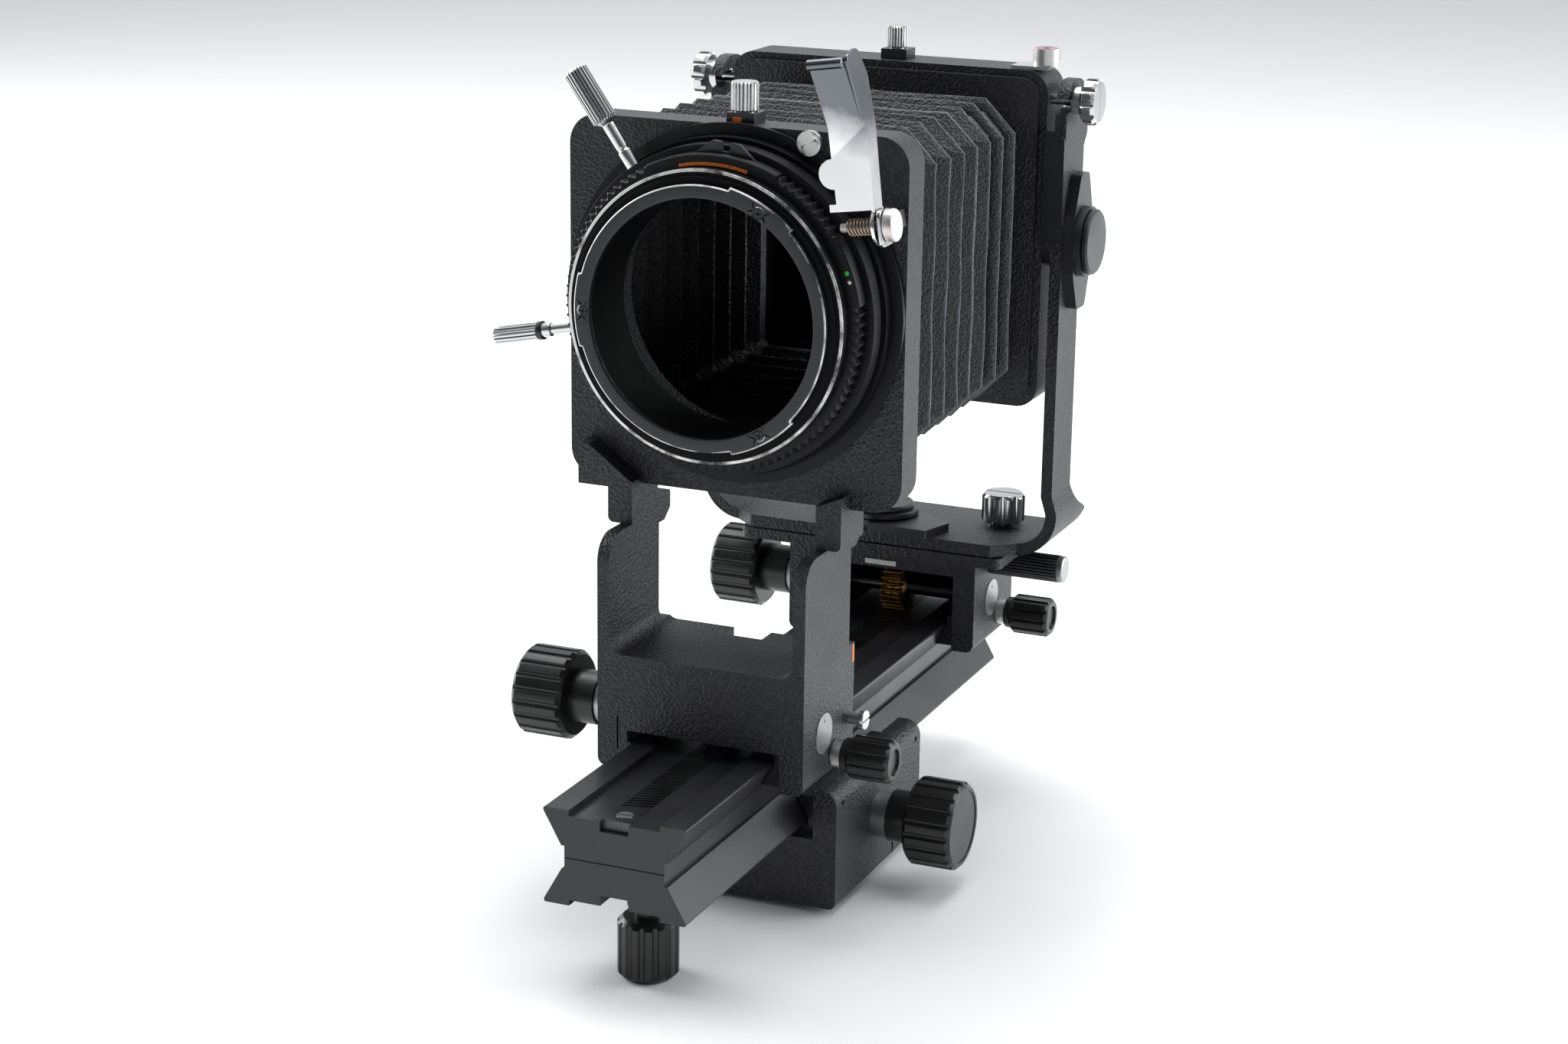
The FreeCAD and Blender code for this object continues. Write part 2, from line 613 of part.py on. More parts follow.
def stop_knob():
    z0, z1 = STOP_KNOB_Z
    grip = fluted_rod(vec(0, STOP_SCREW_Y, z0), Z_AXIS, 10.2, z1 - z0, 14, 1.2, 1.9)
    neck = rod(vec(0, STOP_SCREW_Y, z1), Z_AXIS, 4.6, 4.0)
    washer = rod(vec(0, STOP_SCREW_Y, z1 + 4), Z_AXIS, 7.0, -2 * RAIL_DEPTH + RECESS - 0.2 - z1 - 4)
    knob = union([grip, neck, washer])
    return knob.cut(rod(vec(0, STOP_SCREW_Y, z0 + 6), Z_AXIS, 2.5 + RUN_FIT, 40))


# ---------------------------------------------------------------- rear carriage

def rear_carriage():
    """Carriage with a tall opening in front of a back wall that comes down to the rail."""
    y0, y1 = REAR_Y
    half = CARRIAGE_HALF
    body = prism([(-half, CARRIAGE_BOTTOM, 3), (half, CARRIAGE_BOTTOM, 3), (half, SWING_BASE_Z[0]),
                  (-half, SWING_BASE_Z[0])], "xz", y0, y1 - y0)
    rod_bore = rod(vec(25.0, *SWING_ROD), X_AXIS, 2.0 + RUN_FIT, 20)
    tools = [rail_slot(y0, REAR_WALL - 1, REAR_OPENING_TOP), rail_slot(REAR_WALL, y1, REAR_WALL_FOOT),
             lock_bore(REAR_LOCK, GIB_TIP), rod_bore]
    return body.cut(tools + shaft_room(REAR_PINION_Y))


def swing_arc(radius, width, start_deg, end_deg, z0, z1):
    """Curved slot about the swing axis."""
    ring = tube(vec(0, SWING_Y, z0), Z_AXIS, radius + width / 2, radius - width / 2, z1 - z0)
    pivot = vec(0, SWING_Y, z0)
    fan = [pivot]
    for degrees in (start_deg, (start_deg + end_deg) / 2, end_deg):
        angle = math.radians(degrees)
        fan.append(pivot + vec(math.cos(angle), math.sin(angle), 0) * 120)
    return ring.common(polygon_solid(fan, Z_AXIS * (z1 - z0)))


def swing_base():
    """Turntable plate on the rear carriage, with the swing pivot's hub and the lock screw's slot."""
    z0, z1 = SWING_BASE_Z
    plate = prism([(-52, YOKE_FRONT, 3), (52, YOKE_FRONT, 3), (52, 262, 8), (-52, 262, 8)], "xy", z0, z1 - z0)
    hub = rod(vec(0, SWING_Y, z1), Z_AXIS, 5.95, SWING_DISC_Z - z1)
    radius = math.hypot(SWING_KNOB[0], SWING_KNOB[1] - SWING_Y)
    angle = math.degrees(math.atan2(SWING_KNOB[1] - SWING_Y, SWING_KNOB[0]))
    slot = swing_arc(radius, 5.0, angle - 17, angle + 17, z0 - 1, z1 + 1)
    return union([plate, hub]).cut(slot)


def swing_rod():
    """Knurled cross rod that clamps the turntable from the right."""
    grip = fluted_rod(vec(38.2, *SWING_ROD), X_AXIS, 5.2, 28.0, 30, 0.3, 0.3)
    return union([grip, rod(vec(26.0, *SWING_ROD), X_AXIS, 2.0, 14)])


def swing_rod_cap():
    return bevelled_rod(vec(66.2, *SWING_ROD), X_AXIS, 4.9, 1.9, 0.4)


# ---------------------------------------------------------------- yoke

def yoke_section():
    """U outline: arms step out a little just above the bends."""
    top = YOKE_BOTTOM + YOKE_PLATE
    inner = YOKE_HALF - 4.2
    outer_half = [(YOKE_HALF + 2, YOKE_BOTTOM, 16), (YOKE_HALF + 2, 51.0, 4), (YOKE_HALF, 57.5, 4),
                  (YOKE_HALF, YOKE_TOP)]
    inner_half = [(inner, YOKE_TOP), (inner, 57.0, 4), (inner + 2, 50.5, 4), (inner + 2, top, 11.5)]
    right = outer_half + inner_half
    left = [(-c[0],) + c[1:] for c in reversed(right)]
    return right + left


def tilt_slot(x0, depth):
    """Curved slot about the tilt axis for one clamp screw."""
    radius = math.hypot(TILT_KNOB_Y - TILT_Y, TILT_KNOB_Z - TILT_Z)
    middle = math.atan2(TILT_KNOB_Z - TILT_Z, TILT_KNOB_Y - TILT_Y)
    ring = tube(vec(x0, TILT_Y, TILT_Z), X_AXIS, radius + 2.6, radius - 2.6, depth)
    fan = [vec(x0, TILT_Y, TILT_Z)]
    for turn in (-11, 0, 11):
        angle = middle + math.radians(turn)
        fan.append(vec(x0, TILT_Y + 90 * math.cos(angle), TILT_Z + 90 * math.sin(angle)))
    return ring.common(polygon_solid(fan, X_AXIS * depth))


def yoke():
    section = prism(yoke_section(), "xz", YOKE_FRONT, YOKE_REAR - YOKE_FRONT)
    arm = prism([(ARM_Y[0], 30), (ARM_Y[0], YOKE_TOP, 9), (247, YOKE_TOP, 13), (247, 188, 3), (ARM_Y[1], 184),
                 (ARM_Y[1], 52, 9), (YOKE_REAR, 44.5, 2), (YOKE_REAR, 30)], "yz", -80, 160)
    deck = prism([(-48, YOKE_FRONT, 1), (48, YOKE_FRONT, 1), (56, ARM_Y[0]), (56, YOKE_REAR),
                  (-56, YOKE_REAR), (-56, ARM_Y[0])], "xy", YOKE_BOTTOM - 1, YOKE_PLATE + 2)
    body = section.common(union([arm, deck]))
    knob_x, knob_y = SWING_KNOB
    tools = [rod(vec(0, SWING_Y, YOKE_BOTTOM - 1), Z_AXIS, 6.0, 10),
             rod(vec(knob_x, knob_y, YOKE_BOTTOM - 1), Z_AXIS, 2.0 + RUN_FIT, 10),
             rod(vec(-80, TILT_Y, TILT_Z), X_AXIS, 5.0 + RUN_FIT, 160), tilt_slot(-80, 30), tilt_slot(50, 30)]
    return body.cut(tools)


def arm_cover():
    """Thin cover over the front edge of an arm, beside the rear frame."""
    outline = [(61.3, 149.0), (YOKE_HALF, 149.0), (YOKE_HALF, 191.5, 4), (61.3, 191.5)]
    return prism(outline, "xz", ARM_Y[0] - 1.3, 1.3)


def cover_screws():
    screws = []
    for x in (63.2, 67.0):
        screws += [rod(vec(side * x, ARM_Y[0] - 1.8, 151.5), Y_AXIS, 0.8, 0.5) for side in (-1, 1)]
    return screws


def pivot_plate():
    """Long six-sided reinforcing plate round the tilt pivot."""
    corners = [(-10, -11, 3), (-4, -24.5, 2), (5, -24.5, 2), (10, -11, 3), (10, 11, 3), (5, 24.5, 2),
               (-4, 24.5, 2), (-10, 11, 3)]
    plate = prism([(TILT_Y + c[0], TILT_Z + c[1], c[2]) for c in corners], "yz", YOKE_HALF, 4.0)
    return plate.cut(rod(vec(60, TILT_Y, TILT_Z), X_AXIS, 5.0 + RUN_FIT, 20))


def swing_lever():
    """Flat clamp lever over the swing pivot, pointing right."""
    z = YOKE_BOTTOM + YOKE_PLATE + 0.1
    arrow = prism([(0, 213.5), (23.5, 212.5, 1), (28, 226.8, 1.5), (12, 237.5), (0, 237.5)], "xy", z, 3.1)
    collar = rod(vec(0, SWING_Y, z), Z_AXIS, 13.5, 3.1)
    return union([arrow, collar]).cut(rod(vec(0, SWING_Y, z - 1), Z_AXIS, 6.0, 6))


def swing_disc():
    """Stepped round nut over the clamp lever."""
    z = SWING_DISC_Z
    return union([bevelled_rod(vec(0, SWING_Y, z), Z_AXIS, 13.5, 2.4, 0.5),
                  bevelled_rod(vec(0, SWING_Y, z + 2.4), Z_AXIS, 11.6, 2.1, 0.6)])


def chrome_knob(base, axis, radius, height):
    """Low bright clamp knob: eight broad flutes, a domed rim and a screwdriver slot."""
    knob = fluted_rod(base, axis, radius, height, 10, 1.5, 1.2)
    face = base + axis * height
    across = Z_AXIS if abs(axis.x) > 0.5 else X_AXIS
    slot = rod(face - across * radius, across, 0.45, 2 * radius)
    return knob.cut(slot)


def swing_knob():
    x, y = SWING_KNOB
    top = YOKE_BOTTOM + YOKE_PLATE
    knob = chrome_knob(vec(x, y, top + 1.0), Z_AXIS, 8.1, 11.4)
    screw = rod(vec(x, y, SWING_BASE_Z[0] + 0.3), Z_AXIS, 2.0, top + 1.0 - SWING_BASE_Z[0] - 0.3)
    collar = rod(vec(x, y, top + 0.1), Z_AXIS, 6.4, 0.9)
    return union([knob, screw, collar])


# ---------------------------------------------------------------- rear frame

def square_hole(half, corner, y0, y1):
    return prism([(-half, TILT_Z - half, corner), (half, TILT_Z - half, corner),
                  (half, TILT_Z + half, corner), (-half, TILT_Z + half, corner)], "xz", y0, y1 - y0)


def rear_frame():
    """Frame with a deep well for the bellows and a film gate in its back wall."""
    half = FRAME_HALF
    z0, z1 = FRAME_Z
    y0, y1 = FRAME_Y
    body = prism([(-half, z0, 8), (half, z0, 8), (half, z1, 8), (-half, z1, 8)], "xz",
                 y0 + 2.2, y1 - y0 - 2.2)
    inset = 2.6
    rim = prism([(-half + inset, z0 + inset, 7), (half - inset, z0 + inset, 7), (half - inset, z1 - inset, 7),
                 (-half + inset, z1 - inset, 7)], "xz", y0, 2.2)
    well = square_hole(FRAME_WELL, 5, y0 - 1, y1 - GATE_DEPTH)
    gate = square_hole(FILM_GATE, 2, y0, y1 + 1)
    screw_holes = [rod(vec(side * (half + 1), TILT_KNOB_Y, TILT_KNOB_Z), X_AXIS * -side, 2.0 + RUN_FIT, 12)
                   for side in (-1, 1)]
    pin_holes = [rod(vec(side * (half + 1), TILT_Y, TILT_Z), X_AXIS * -side, 5.0, 9) for side in (-1, 1)]
    top_hole = rod(vec(0, 233.0, z1 - 9), Z_AXIS, 1.5 + RUN_FIT, 12)
    return union([body, rim]).cut([well, gate, top_hole] + screw_holes + pin_holes)


def tilt_pin():
    """Pivot pin with its spacer and the round outer cap, right-hand side."""
    start = FRAME_HALF - 8
    return union([rod(vec(start, TILT_Y, TILT_Z), X_AXIS, 5.0, YOKE_HALF + 4.3 - start),
                  rod(vec(FRAME_HALF, TILT_Y, TILT_Z), X_AXIS, 10.0, YOKE_HALF - 4.2 - FRAME_HALF - 0.3)])


def tilt_cap():
    start = YOKE_HALF + 4.3
    return union([rod(vec(start, TILT_Y, TILT_Z), X_AXIS, 12.7, 2.4),
                  bevelled_rod(vec(start + 2.4, TILT_Y, TILT_Z), X_AXIS, 11.8, 2.6, 0.7)])


def tilt_knob():
    """Bright clamp knob whose screw runs through the arm's curved slot into the frame."""
    start = YOKE_HALF + 0.2
    y, z = TILT_KNOB_Y, TILT_KNOB_Z
    knob = chrome_knob(vec(start + 3.4, y, z), X_AXIS, 8.3, 5.6)
    collar = rod(vec(start, y, z), X_AXIS, 5.2, 3.6)
    screw = rod(vec(FRAME_HALF - 9, y, z), X_AXIS, 2.0, start - FRAME_HALF + 9)
    return union([knob, collar, screw])


def sync_socket():
    """Cable release socket on a small bright bracket at the frame's top right corner."""
    bracket = prism([(46, 212.0), (59.5, 212.0), (60.7, 213.2), (46, 213.2)], "xz", 226.0, 13)
    barrel = tube(vec(57.2, 232.0, 213.2), Z_AXIS, 4.8, 1.6, 6.0)
    return union([bracket.cut(rod(vec(57.2, 232.0, 210), Z_AXIS, 1.6, 6)), barrel])


def bellows():
    """Closed tube that holds the pleated leather between the front plate and the rear frame."""
    half, cut = BELLOWS_HALF, BELLOWS_CHAMFER
    outer = []
    for sx, sz in ((1, -1), (1, 1), (-1, 1), (-1, -1)):
        first = (sx * half, BELLOWS_Z + sz * (half - cut))
        second = (sx * (half - cut), BELLOWS_Z + sz * half)
        outer += [first, second] if sx * sz > 0 else [second, first]
    start = PLATE_Y[1] + 0.1
    length = FRAME_Y[0] - 0.1 - start
    inner = box(-BELLOWS_INNER, BELLOWS_INNER, start - 1, start + length + 1, BELLOWS_Z - BELLOWS_INNER,
                BELLOWS_Z + BELLOWS_INNER)
    return prism(outer, "xz", start, length).cut(inner)


# ---------------------------------------------------------------- all files

def focus_set(name, centre_y, neck_start, body_start, body_length, carry):
    """Shaft, knob with its cap, and the two shaft bushes of one carriage's drive."""
    collar = focus_collar(centre_y, -neck_start - CARRIAGE_HALF - 0.2)
    knob = focus_knob(centre_y, neck_start, body_start, body_length)
    cap = knob_cap(centre_y, body_start - body_length)
    save(name + "_pinion_shaft", carry(pinion_shaft(centre_y)))
    save(name + "_focus_knob", carry(Part.Compound([knob, cap])))
    save(name + "_shaft_bushes", carry(Part.Compound([collar, bearing_disc(centre_y)])))


def lock_set(name, place, tip_x, carry):
    save(name + "_lock_screw", carry(lock_screw(place, tip_x)))
    save(name + "_lock_knob", carry(lock_knob(place)))


def as_drawn(shape):
    return shape


def pair(shape):
    return Part.Compound([shape, mirrored_x(shape)])


def main():
    os.makedirs("parts", exist_ok=True)
    save("tripod_block", tripod_block())
    save("tripod_socket", tripod_socket())
    save("block_gib", turned_over(gib(*BLOCK_Y)))
    focus_set("block", BLOCK_PINION_Y, -43.2, -51.6, 17.8, on_block)
    lock_set("block", BLOCK_LOCK, RAIL_TIP, on_block)

    save("upper_rail", rail(False))
    save("lower_rail", rail(True))
    save("racks", Part.Compound([rack(*UPPER_RACK_Y), turned_over(rack(*LOWER_RACK_Y))]))
    save("rack_screws", Part.Compound(rack_screws(*UPPER_RACK_Y) + [turned_over(screw) for screw in
                                                                  rack_screws(*LOWER_RACK_Y)]))
    save("stop_stud", stop_stud())
    save("stop_knob", stop_knob())

    save("front_standard", front_standard())
    save("front_gib", gib(*FRONT_Y))
    focus_set("front", FRONT_PINION_Y, -44.2, -53.5, 18.9, as_drawn)
    lock_set("front", FRONT_LOCK, GIB_TIP, as_drawn)
    save("clamp_screw", clamp_screw())
    save("front_plate", front_plate())
    save("panel_disc", panel_disc())
    save("mount_barrel", mount_barrel())
    save("bayonet_flange", bayonet_flange())
    save("flange_screws", Part.Compound(flange_screws()))
    save("panel_button", panel_button())
    save("panel_lock_block", top_lock_block(PLATE_Z[1], 96.5))
    save("panel_lock_knob", top_lock_knob(PLATE_Z[1], 96.5, 4.55, 9.6))
    save("grip_ring", grip_ring())
    save("lever_ring", lever_ring())
    save("ring_fork", ring_fork())
    save("ring_levers", Part.Compound([ring_lever(125.5, 2.0, 4.2, 71.5, 91.5),
                                       ring_lever(191.5, 1.5, 2.9, 63.5, 84.5)]))
    save("stop_lever", stop_lever())
    save("stop_pivot", Part.Compound([stop_pin(), stop_bracket()]))
    save("stop_spring", stop_spring())

    save("rear_carriage", rear_carriage())
    save("rear_gib", gib(REAR_Y[0], REAR_WALL + 4))
    focus_set("rear", REAR_PINION_Y, -44.2, -55.0, 18.9, as_drawn)
    lock_set("rear", REAR_LOCK, GIB_TIP, as_drawn)
    save("swing_base", swing_base())
    save("swing_rod", Part.Compound([swing_rod(), swing_rod_cap()]))
    save("swing_disc", swing_disc())
    save("swing_lever", swing_lever())

    save("yoke", yoke())
    save("arm_covers", Part.Compound([pair(arm_cover())] + cover_screws()))
    save("pivot_plates", pair(pivot_plate()))
    save("swing_knob", swing_knob())

    save("rear_frame", rear_frame())
    save("tilt_pivots", Part.Compound([pair(tilt_pin()), pair(tilt_cap())]))
    save("tilt_knob_right", tilt_knob())
    save("tilt_knob_left", mirrored_x(tilt_knob()))
    save("frame_lock_block", top_lock_block(FRAME_Z[1], 233.0))
    save("frame_lock_knob", top_lock_knob(FRAME_Z[1], 233.0, 3.6, 7.8))
    save("sync_socket", sync_socket())
    save("bellows", bellows())


main()
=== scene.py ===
import json
import math

import bmesh
import bpy
from mathutils import Matrix, Vector


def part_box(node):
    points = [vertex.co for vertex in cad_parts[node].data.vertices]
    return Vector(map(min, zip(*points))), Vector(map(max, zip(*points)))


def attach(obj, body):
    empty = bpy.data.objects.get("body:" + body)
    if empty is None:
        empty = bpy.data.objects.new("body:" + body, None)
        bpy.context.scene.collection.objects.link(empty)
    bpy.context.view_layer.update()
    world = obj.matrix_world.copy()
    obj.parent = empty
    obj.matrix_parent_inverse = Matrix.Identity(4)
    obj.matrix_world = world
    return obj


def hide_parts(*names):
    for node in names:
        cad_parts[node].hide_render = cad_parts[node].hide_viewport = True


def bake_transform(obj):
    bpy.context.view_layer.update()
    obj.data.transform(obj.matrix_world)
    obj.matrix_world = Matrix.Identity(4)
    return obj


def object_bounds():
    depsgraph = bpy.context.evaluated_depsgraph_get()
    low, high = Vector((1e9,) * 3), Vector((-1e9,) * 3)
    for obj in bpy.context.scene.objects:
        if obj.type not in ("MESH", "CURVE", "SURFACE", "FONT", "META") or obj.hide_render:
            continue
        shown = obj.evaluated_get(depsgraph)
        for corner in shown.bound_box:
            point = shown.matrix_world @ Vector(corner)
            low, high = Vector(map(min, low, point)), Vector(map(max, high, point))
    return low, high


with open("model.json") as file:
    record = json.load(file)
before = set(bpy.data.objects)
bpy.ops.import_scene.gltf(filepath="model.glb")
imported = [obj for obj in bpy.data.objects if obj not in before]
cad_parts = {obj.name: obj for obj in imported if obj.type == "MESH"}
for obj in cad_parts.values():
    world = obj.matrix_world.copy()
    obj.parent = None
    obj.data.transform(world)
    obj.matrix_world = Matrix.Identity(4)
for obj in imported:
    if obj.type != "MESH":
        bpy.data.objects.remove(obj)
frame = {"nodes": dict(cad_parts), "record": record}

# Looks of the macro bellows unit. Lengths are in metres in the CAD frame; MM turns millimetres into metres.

MM = 0.001
WELL_HALF = 46.2 * MM           # half width of the square well in the rear frame
FLANGE_EDGE = 42.6 * MM         # the flange is rubbed bright outside this radius
PINION_HALF = 4.05 * MM
CAD_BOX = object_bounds()
X = Vector((1, 0, 0))
Y = Vector((0, 1, 0))
Z = Vector((0, 0, 1))

# The camera stands to the right of the front, a little above the object.
CAMERA_AZIMUTH = 22.8966
CAMERA_ELEVATION = 16.107
CAMERA_ROLL = 0.8423
CAMERA_TARGET = Vector((0.0144, -0.0348, 0.13458))
CAMERA_DISTANCE = 1.030868
CAMERA_LENS = 70.59
CAMERA_SENSOR = 36

# The surroundings fall from bright to dim towards this direction, which is in front of the object.
DIM_SIDE = (0.10, -0.98, 0.05)
BRIGHT_LEVEL, DIM_LEVEL = 0.85, 0.10
DIM_STARTS, DIM_ENDS = -0.15, 0.75
FLOOR_REACH = 9.0


def low(node):
    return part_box(node)[0]


def high(node):
    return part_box(node)[1]


def middle(node):
    lowest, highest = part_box(node)
    return (lowest + highest) / 2


# ------------------------------------------------------------------ camera, light and floor

def make_camera():
    azimuth, elevation = math.radians(CAMERA_AZIMUTH), math.radians(CAMERA_ELEVATION)
    roll = math.radians(CAMERA_ROLL)
    back = Vector((math.sin(azimuth) * math.cos(elevation), -math.cos(azimuth) * math.cos(elevation),
                   math.sin(elevation)))
    right = (-back).cross(Z).normalized()
    up = right.cross(-back)
    level = Matrix((right, up, back)).transposed()
    tilted = level @ Matrix.Rotation(roll, 3, "Z")
    data = bpy.data.cameras.new("camera")
    data.lens = CAMERA_LENS
    data.sensor_width = CAMERA_SENSOR
    data.clip_start = 0.05
    data.clip_end = 60
    camera = bpy.data.objects.new("camera", data)
    camera.matrix_world = Matrix.Translation(CAMERA_TARGET + back * CAMERA_DISTANCE) @ tilted.to_4x4()
    bpy.context.scene.collection.objects.link(camera)
    bpy.context.scene.camera = camera


def area_light(name, place, aim, size, power):
    data = bpy.data.lights.new(name, "AREA")
    data.shape = "RECTANGLE"
    data.size, data.size_y = size
    data.energy = power
    light = bpy.data.objects.new(name, data)
    light.location = place
    light.rotation_mode = "QUATERNION"
    light.rotation_quaternion = (Vector(aim) - Vector(place)).to_track_quat("-Z", "Y")
    light.visible_camera = False
    bpy.context.scene.collection.objects.link(light)


def make_studio():
    """White surroundings, dim only in front of the object, and three soft boxes."""
    world = bpy.data.worlds.new("studio")
    world.use_nodes = True
    tree = world.node_tree
    place = tree.nodes.new("ShaderNodeTexCoord")
    lean = tree.nodes.new("ShaderNodeVectorMath")
    lean.operation = "DOT_PRODUCT"
    lean.inputs[1].default_value = DIM_SIDE
    level = tree.nodes.new("ShaderNodeMapRange")
    level.inputs["From Min"].default_value = DIM_STARTS
    level.inputs["From Max"].default_value = DIM_ENDS
    level.inputs["To Min"].default_value = BRIGHT_LEVEL
    level.inputs["To Max"].default_value = DIM_LEVEL
    tree.links.new(place.outputs["Generated"], lean.inputs[0])
    tree.links.new(lean.outputs["Value"], level.inputs["Value"])
    tree.links.new(level.outputs[0], tree.nodes["Background"].inputs["Strength"])
    tree.nodes["Background"].inputs["Color"].default_value = (0.94, 0.97, 1, 1)
    bpy.context.scene.world = world
    area_light("right_softbox", (1.6, 0.9, 0.6), (0, 0, 0.1), (1.3, 1.3), 24)
    area_light("top_softbox", (-0.2, 0.5, 1.9), (0, 0, 0.1), (1.6, 1.6), 32)
    area_light("left_softbox", (-1.8, 0.25, 0.75), (0, 0, 0.10), (1.0, 1.2), 26)
    bpy.context.scene.view_settings.view_transform = "Standard"


def make_floor():
    lowest = CAD_BOX[0].z
    mesh = bpy.data.meshes.new("floor")
    corners = [(x * FLOOR_REACH, y * FLOOR_REACH, lowest) for x, y in ((-1, -1), (1, -1), (1, 1), (-1, 1))]
    mesh.from_pydata(corners, [], [(0, 1, 2, 3)])
    floor = bpy.data.objects.new("floor", mesh)
    bpy.context.scene.collection.objects.link(floor)
    paint = bpy.data.materials.new("floor_paint")
    paint.use_nodes = True
    shader = paint.node_tree.nodes["Principled BSDF"]
    shader.inputs["Base Color"].default_value = (0.9, 0.9, 0.9, 1)
    shader.inputs["Roughness"].default_value = 0.9
    shader.inputs["Specular IOR Level"].default_value = 0.1
    mesh.materials.append(paint)


# ------------------------------------------------------------------ materials

class Nodes:
    """Short way to add shader nodes to one material."""

    def __init__(self, name):
        self.material = bpy.data.materials.new(name)
        self.material.use_nodes = True
        self.tree = self.material.node_tree
        self.shader = self.tree.nodes["Principled BSDF"]

    def add(self, kind, inputs=None, **settings):
        node = self.tree.nodes.new(kind)
        for key, value in settings.items():
            setattr(node, key, value)
        for key, value in (inputs or {}).items():
            if isinstance(value, bpy.types.NodeSocket):
                self.tree.links.new(value, node.inputs[key])
            else:
                node.inputs[key].default_value = value
        return node

    def point(self, scale=(1, 1, 1)):
        place = self.add("ShaderNodeTexCoord").outputs["Object"]
        return self.add("ShaderNodeMapping", {"Vector": place, "Scale": scale}).outputs[0]

    def noise(self, point, scale, detail=3.0, rough=0.5):
        return self.add("ShaderNodeTexNoise", {"Vector": point, "Scale": scale, "Detail": detail,
                                               "Roughness": rough}).outputs["Fac"]

    def cells(self, point, scale):
        return self.add("ShaderNodeTexVoronoi", {"Vector": point, "Scale": scale}, feature="SMOOTH_F1"
                        ).outputs["Distance"]

    def math(self, operation, first, second, clamp=False):
        node = self.add("ShaderNodeMath", {0: first, 1: second}, operation=operation, use_clamp=clamp)
        return node.outputs[0]

    def spread(self, value, low_in, high_in, low_out, high_out):
        return self.add("ShaderNodeMapRange", {"Value": value, "From Min": low_in, "From Max": high_in,
                                               "To Min": low_out, "To Max": high_out}).outputs[0]

    def mix(self, share, first, second):
        node = self.add("ShaderNodeMix", data_type="RGBA")
        for index, value in ((0, share), (6, first), (7, second)):
            if isinstance(value, bpy.types.NodeSocket):
                self.tree.links.new(value, node.inputs[index])
            else:
                node.inputs[index].default_value = value
        return node.outputs[2]

    def set(self, **values):
        for key, value in values.items():
            socket = self.shader.inputs[key.replace("_", " ").title().replace("Ior", "IOR")]
            if isinstance(value, bpy.types.NodeSocket):
                self.tree.links.new(value, socket)
            else:
                socket.default_value = value

    def bump(self, height, strength, distance):
        normal = self.add("ShaderNodeBump", {"Height": height, "Strength": strength, "Distance": distance})
        self.tree.links.new(normal.outputs[0], self.shader.inputs["Normal"])


def grey(value, blue=1.0):
    return (value, value, value * blue, 1)


def crinkle_paint(name="crinkle_paint", well=None):
    """Fine crinkled black paint of the castings. Inside a square well about the lens axis it is matt black,
    and metallic so it shows no reflection, as painted shade.
    """
    n = Nodes(name)
    point = n.point()
    grain = n.cells(point, 1050)
    fine = n.noise(point, 1900, 3)
    cloud = n.noise(point, 22, 4)
    specks = n.spread(n.noise(point, 620, 2), 0.72, 0.76, 0.0, 1.0)
    crests = n.spread(grain, 0.25, 0.62, 0.0, 0.55)
    base = n.mix(cloud, grey(0.0070, 1.30), grey(0.0130, 1.30))
    base = n.mix(crests, base, grey(0.040, 1.22))
    base = n.mix(n.math("MULTIPLY", specks, 0.4), base, grey(0.13))
    rough = n.spread(cloud, 0.3, 0.7, 0.40, 0.50)
    if well:
        centre = (0, 0, middle("bayonet_flange").z)
        parts = n.add("ShaderNodeVectorMath", {0: point, 1: centre}, operation="SUBTRACT").outputs[0]
        parts = n.add("ShaderNodeSeparateXYZ", {0: parts}).outputs
        reach = n.math("MAXIMUM", n.math("ABSOLUTE", parts["X"], 0.0), n.math("ABSOLUTE", parts["Z"], 0.0))
        # Painted shade: inside the well the paint turns near-black and metallic, so it reflects nothing
        # bright.
        inside = n.math("LESS_THAN", reach, well)
        base = n.mix(inside, base, grey(0.0015))
        rough = n.math("ADD", rough, n.math("MULTIPLY", inside, 0.5), clamp=True)
        n.set(metallic=inside)
    n.set(base_color=base, roughness=rough, specular_ior_level=0.45)
    n.bump(n.math("ADD", grain, n.math("MULTIPLY", fine, 0.45)), 0.8, 0.00055)
    return n.material


def brushed_black(name, along, rough, base):
    """Black anodised metal with faint lines along one axis and a few rubbed marks."""
    n = Nodes(name)
    stretch = tuple(3 if axis == along else 900 for axis in range(3))
    lines = n.noise(n.point(scale=stretch), 1.0, 3)
    point = n.point()
    cloud = n.noise(point, 30, 5, 0.6)
    rubbed = n.spread(n.noise(n.point(scale=(1, 0.25, 1)), 75, 6, 0.7), 0.66, 0.80, 0.0, 0.30)
    n.set(base_color=n.mix(rubbed, n.mix(cloud, grey(base, 1.22), grey(base * 1.7, 1.22)), grey(0.10)))
    n.set(roughness=n.spread(cloud, 0.3, 0.7, rough - 0.05, rough + 0.09), specular_ior_level=0.5)
    n.bump(lines, 0.10, 0.00008)
    return n.material


def black_turned(name="black_turned", rough=0.33, tone=1.0, gloss=0.5):
    """Black anodised turned metal. The wear attribute lays bare bright metal along edges."""
    n = Nodes(name)
    point = n.point()
    cloud = n.noise(point, 45, 4)
    worn = n.add("ShaderNodeAttribute", attribute_name="wear").outputs["Fac"]
    patchy = n.spread(n.noise(point, 210, 4, 0.65), 0.36, 0.62, 0.25, 1.25)
    bare = n.math("MULTIPLY", worn, patchy, clamp=True)
    bare = n.spread(bare, 0.35, 0.8, 0.0, 1.0)
    base = n.mix(cloud, grey(0.010 * tone, 1.18), grey(0.019 * tone, 1.18))
    n.set(base_color=n.mix(bare, base, (0.72, 0.71, 0.69, 1)), metallic=n.math("MULTIPLY", bare, 0.85))
    n.set(roughness=n.spread(cloud, 0.3, 0.7, rough - 0.05, rough + 0.08), specular_ior_level=gloss)
    n.bump(n.noise(point, 1700, 3), 0.08, 0.0001)
    return n.material


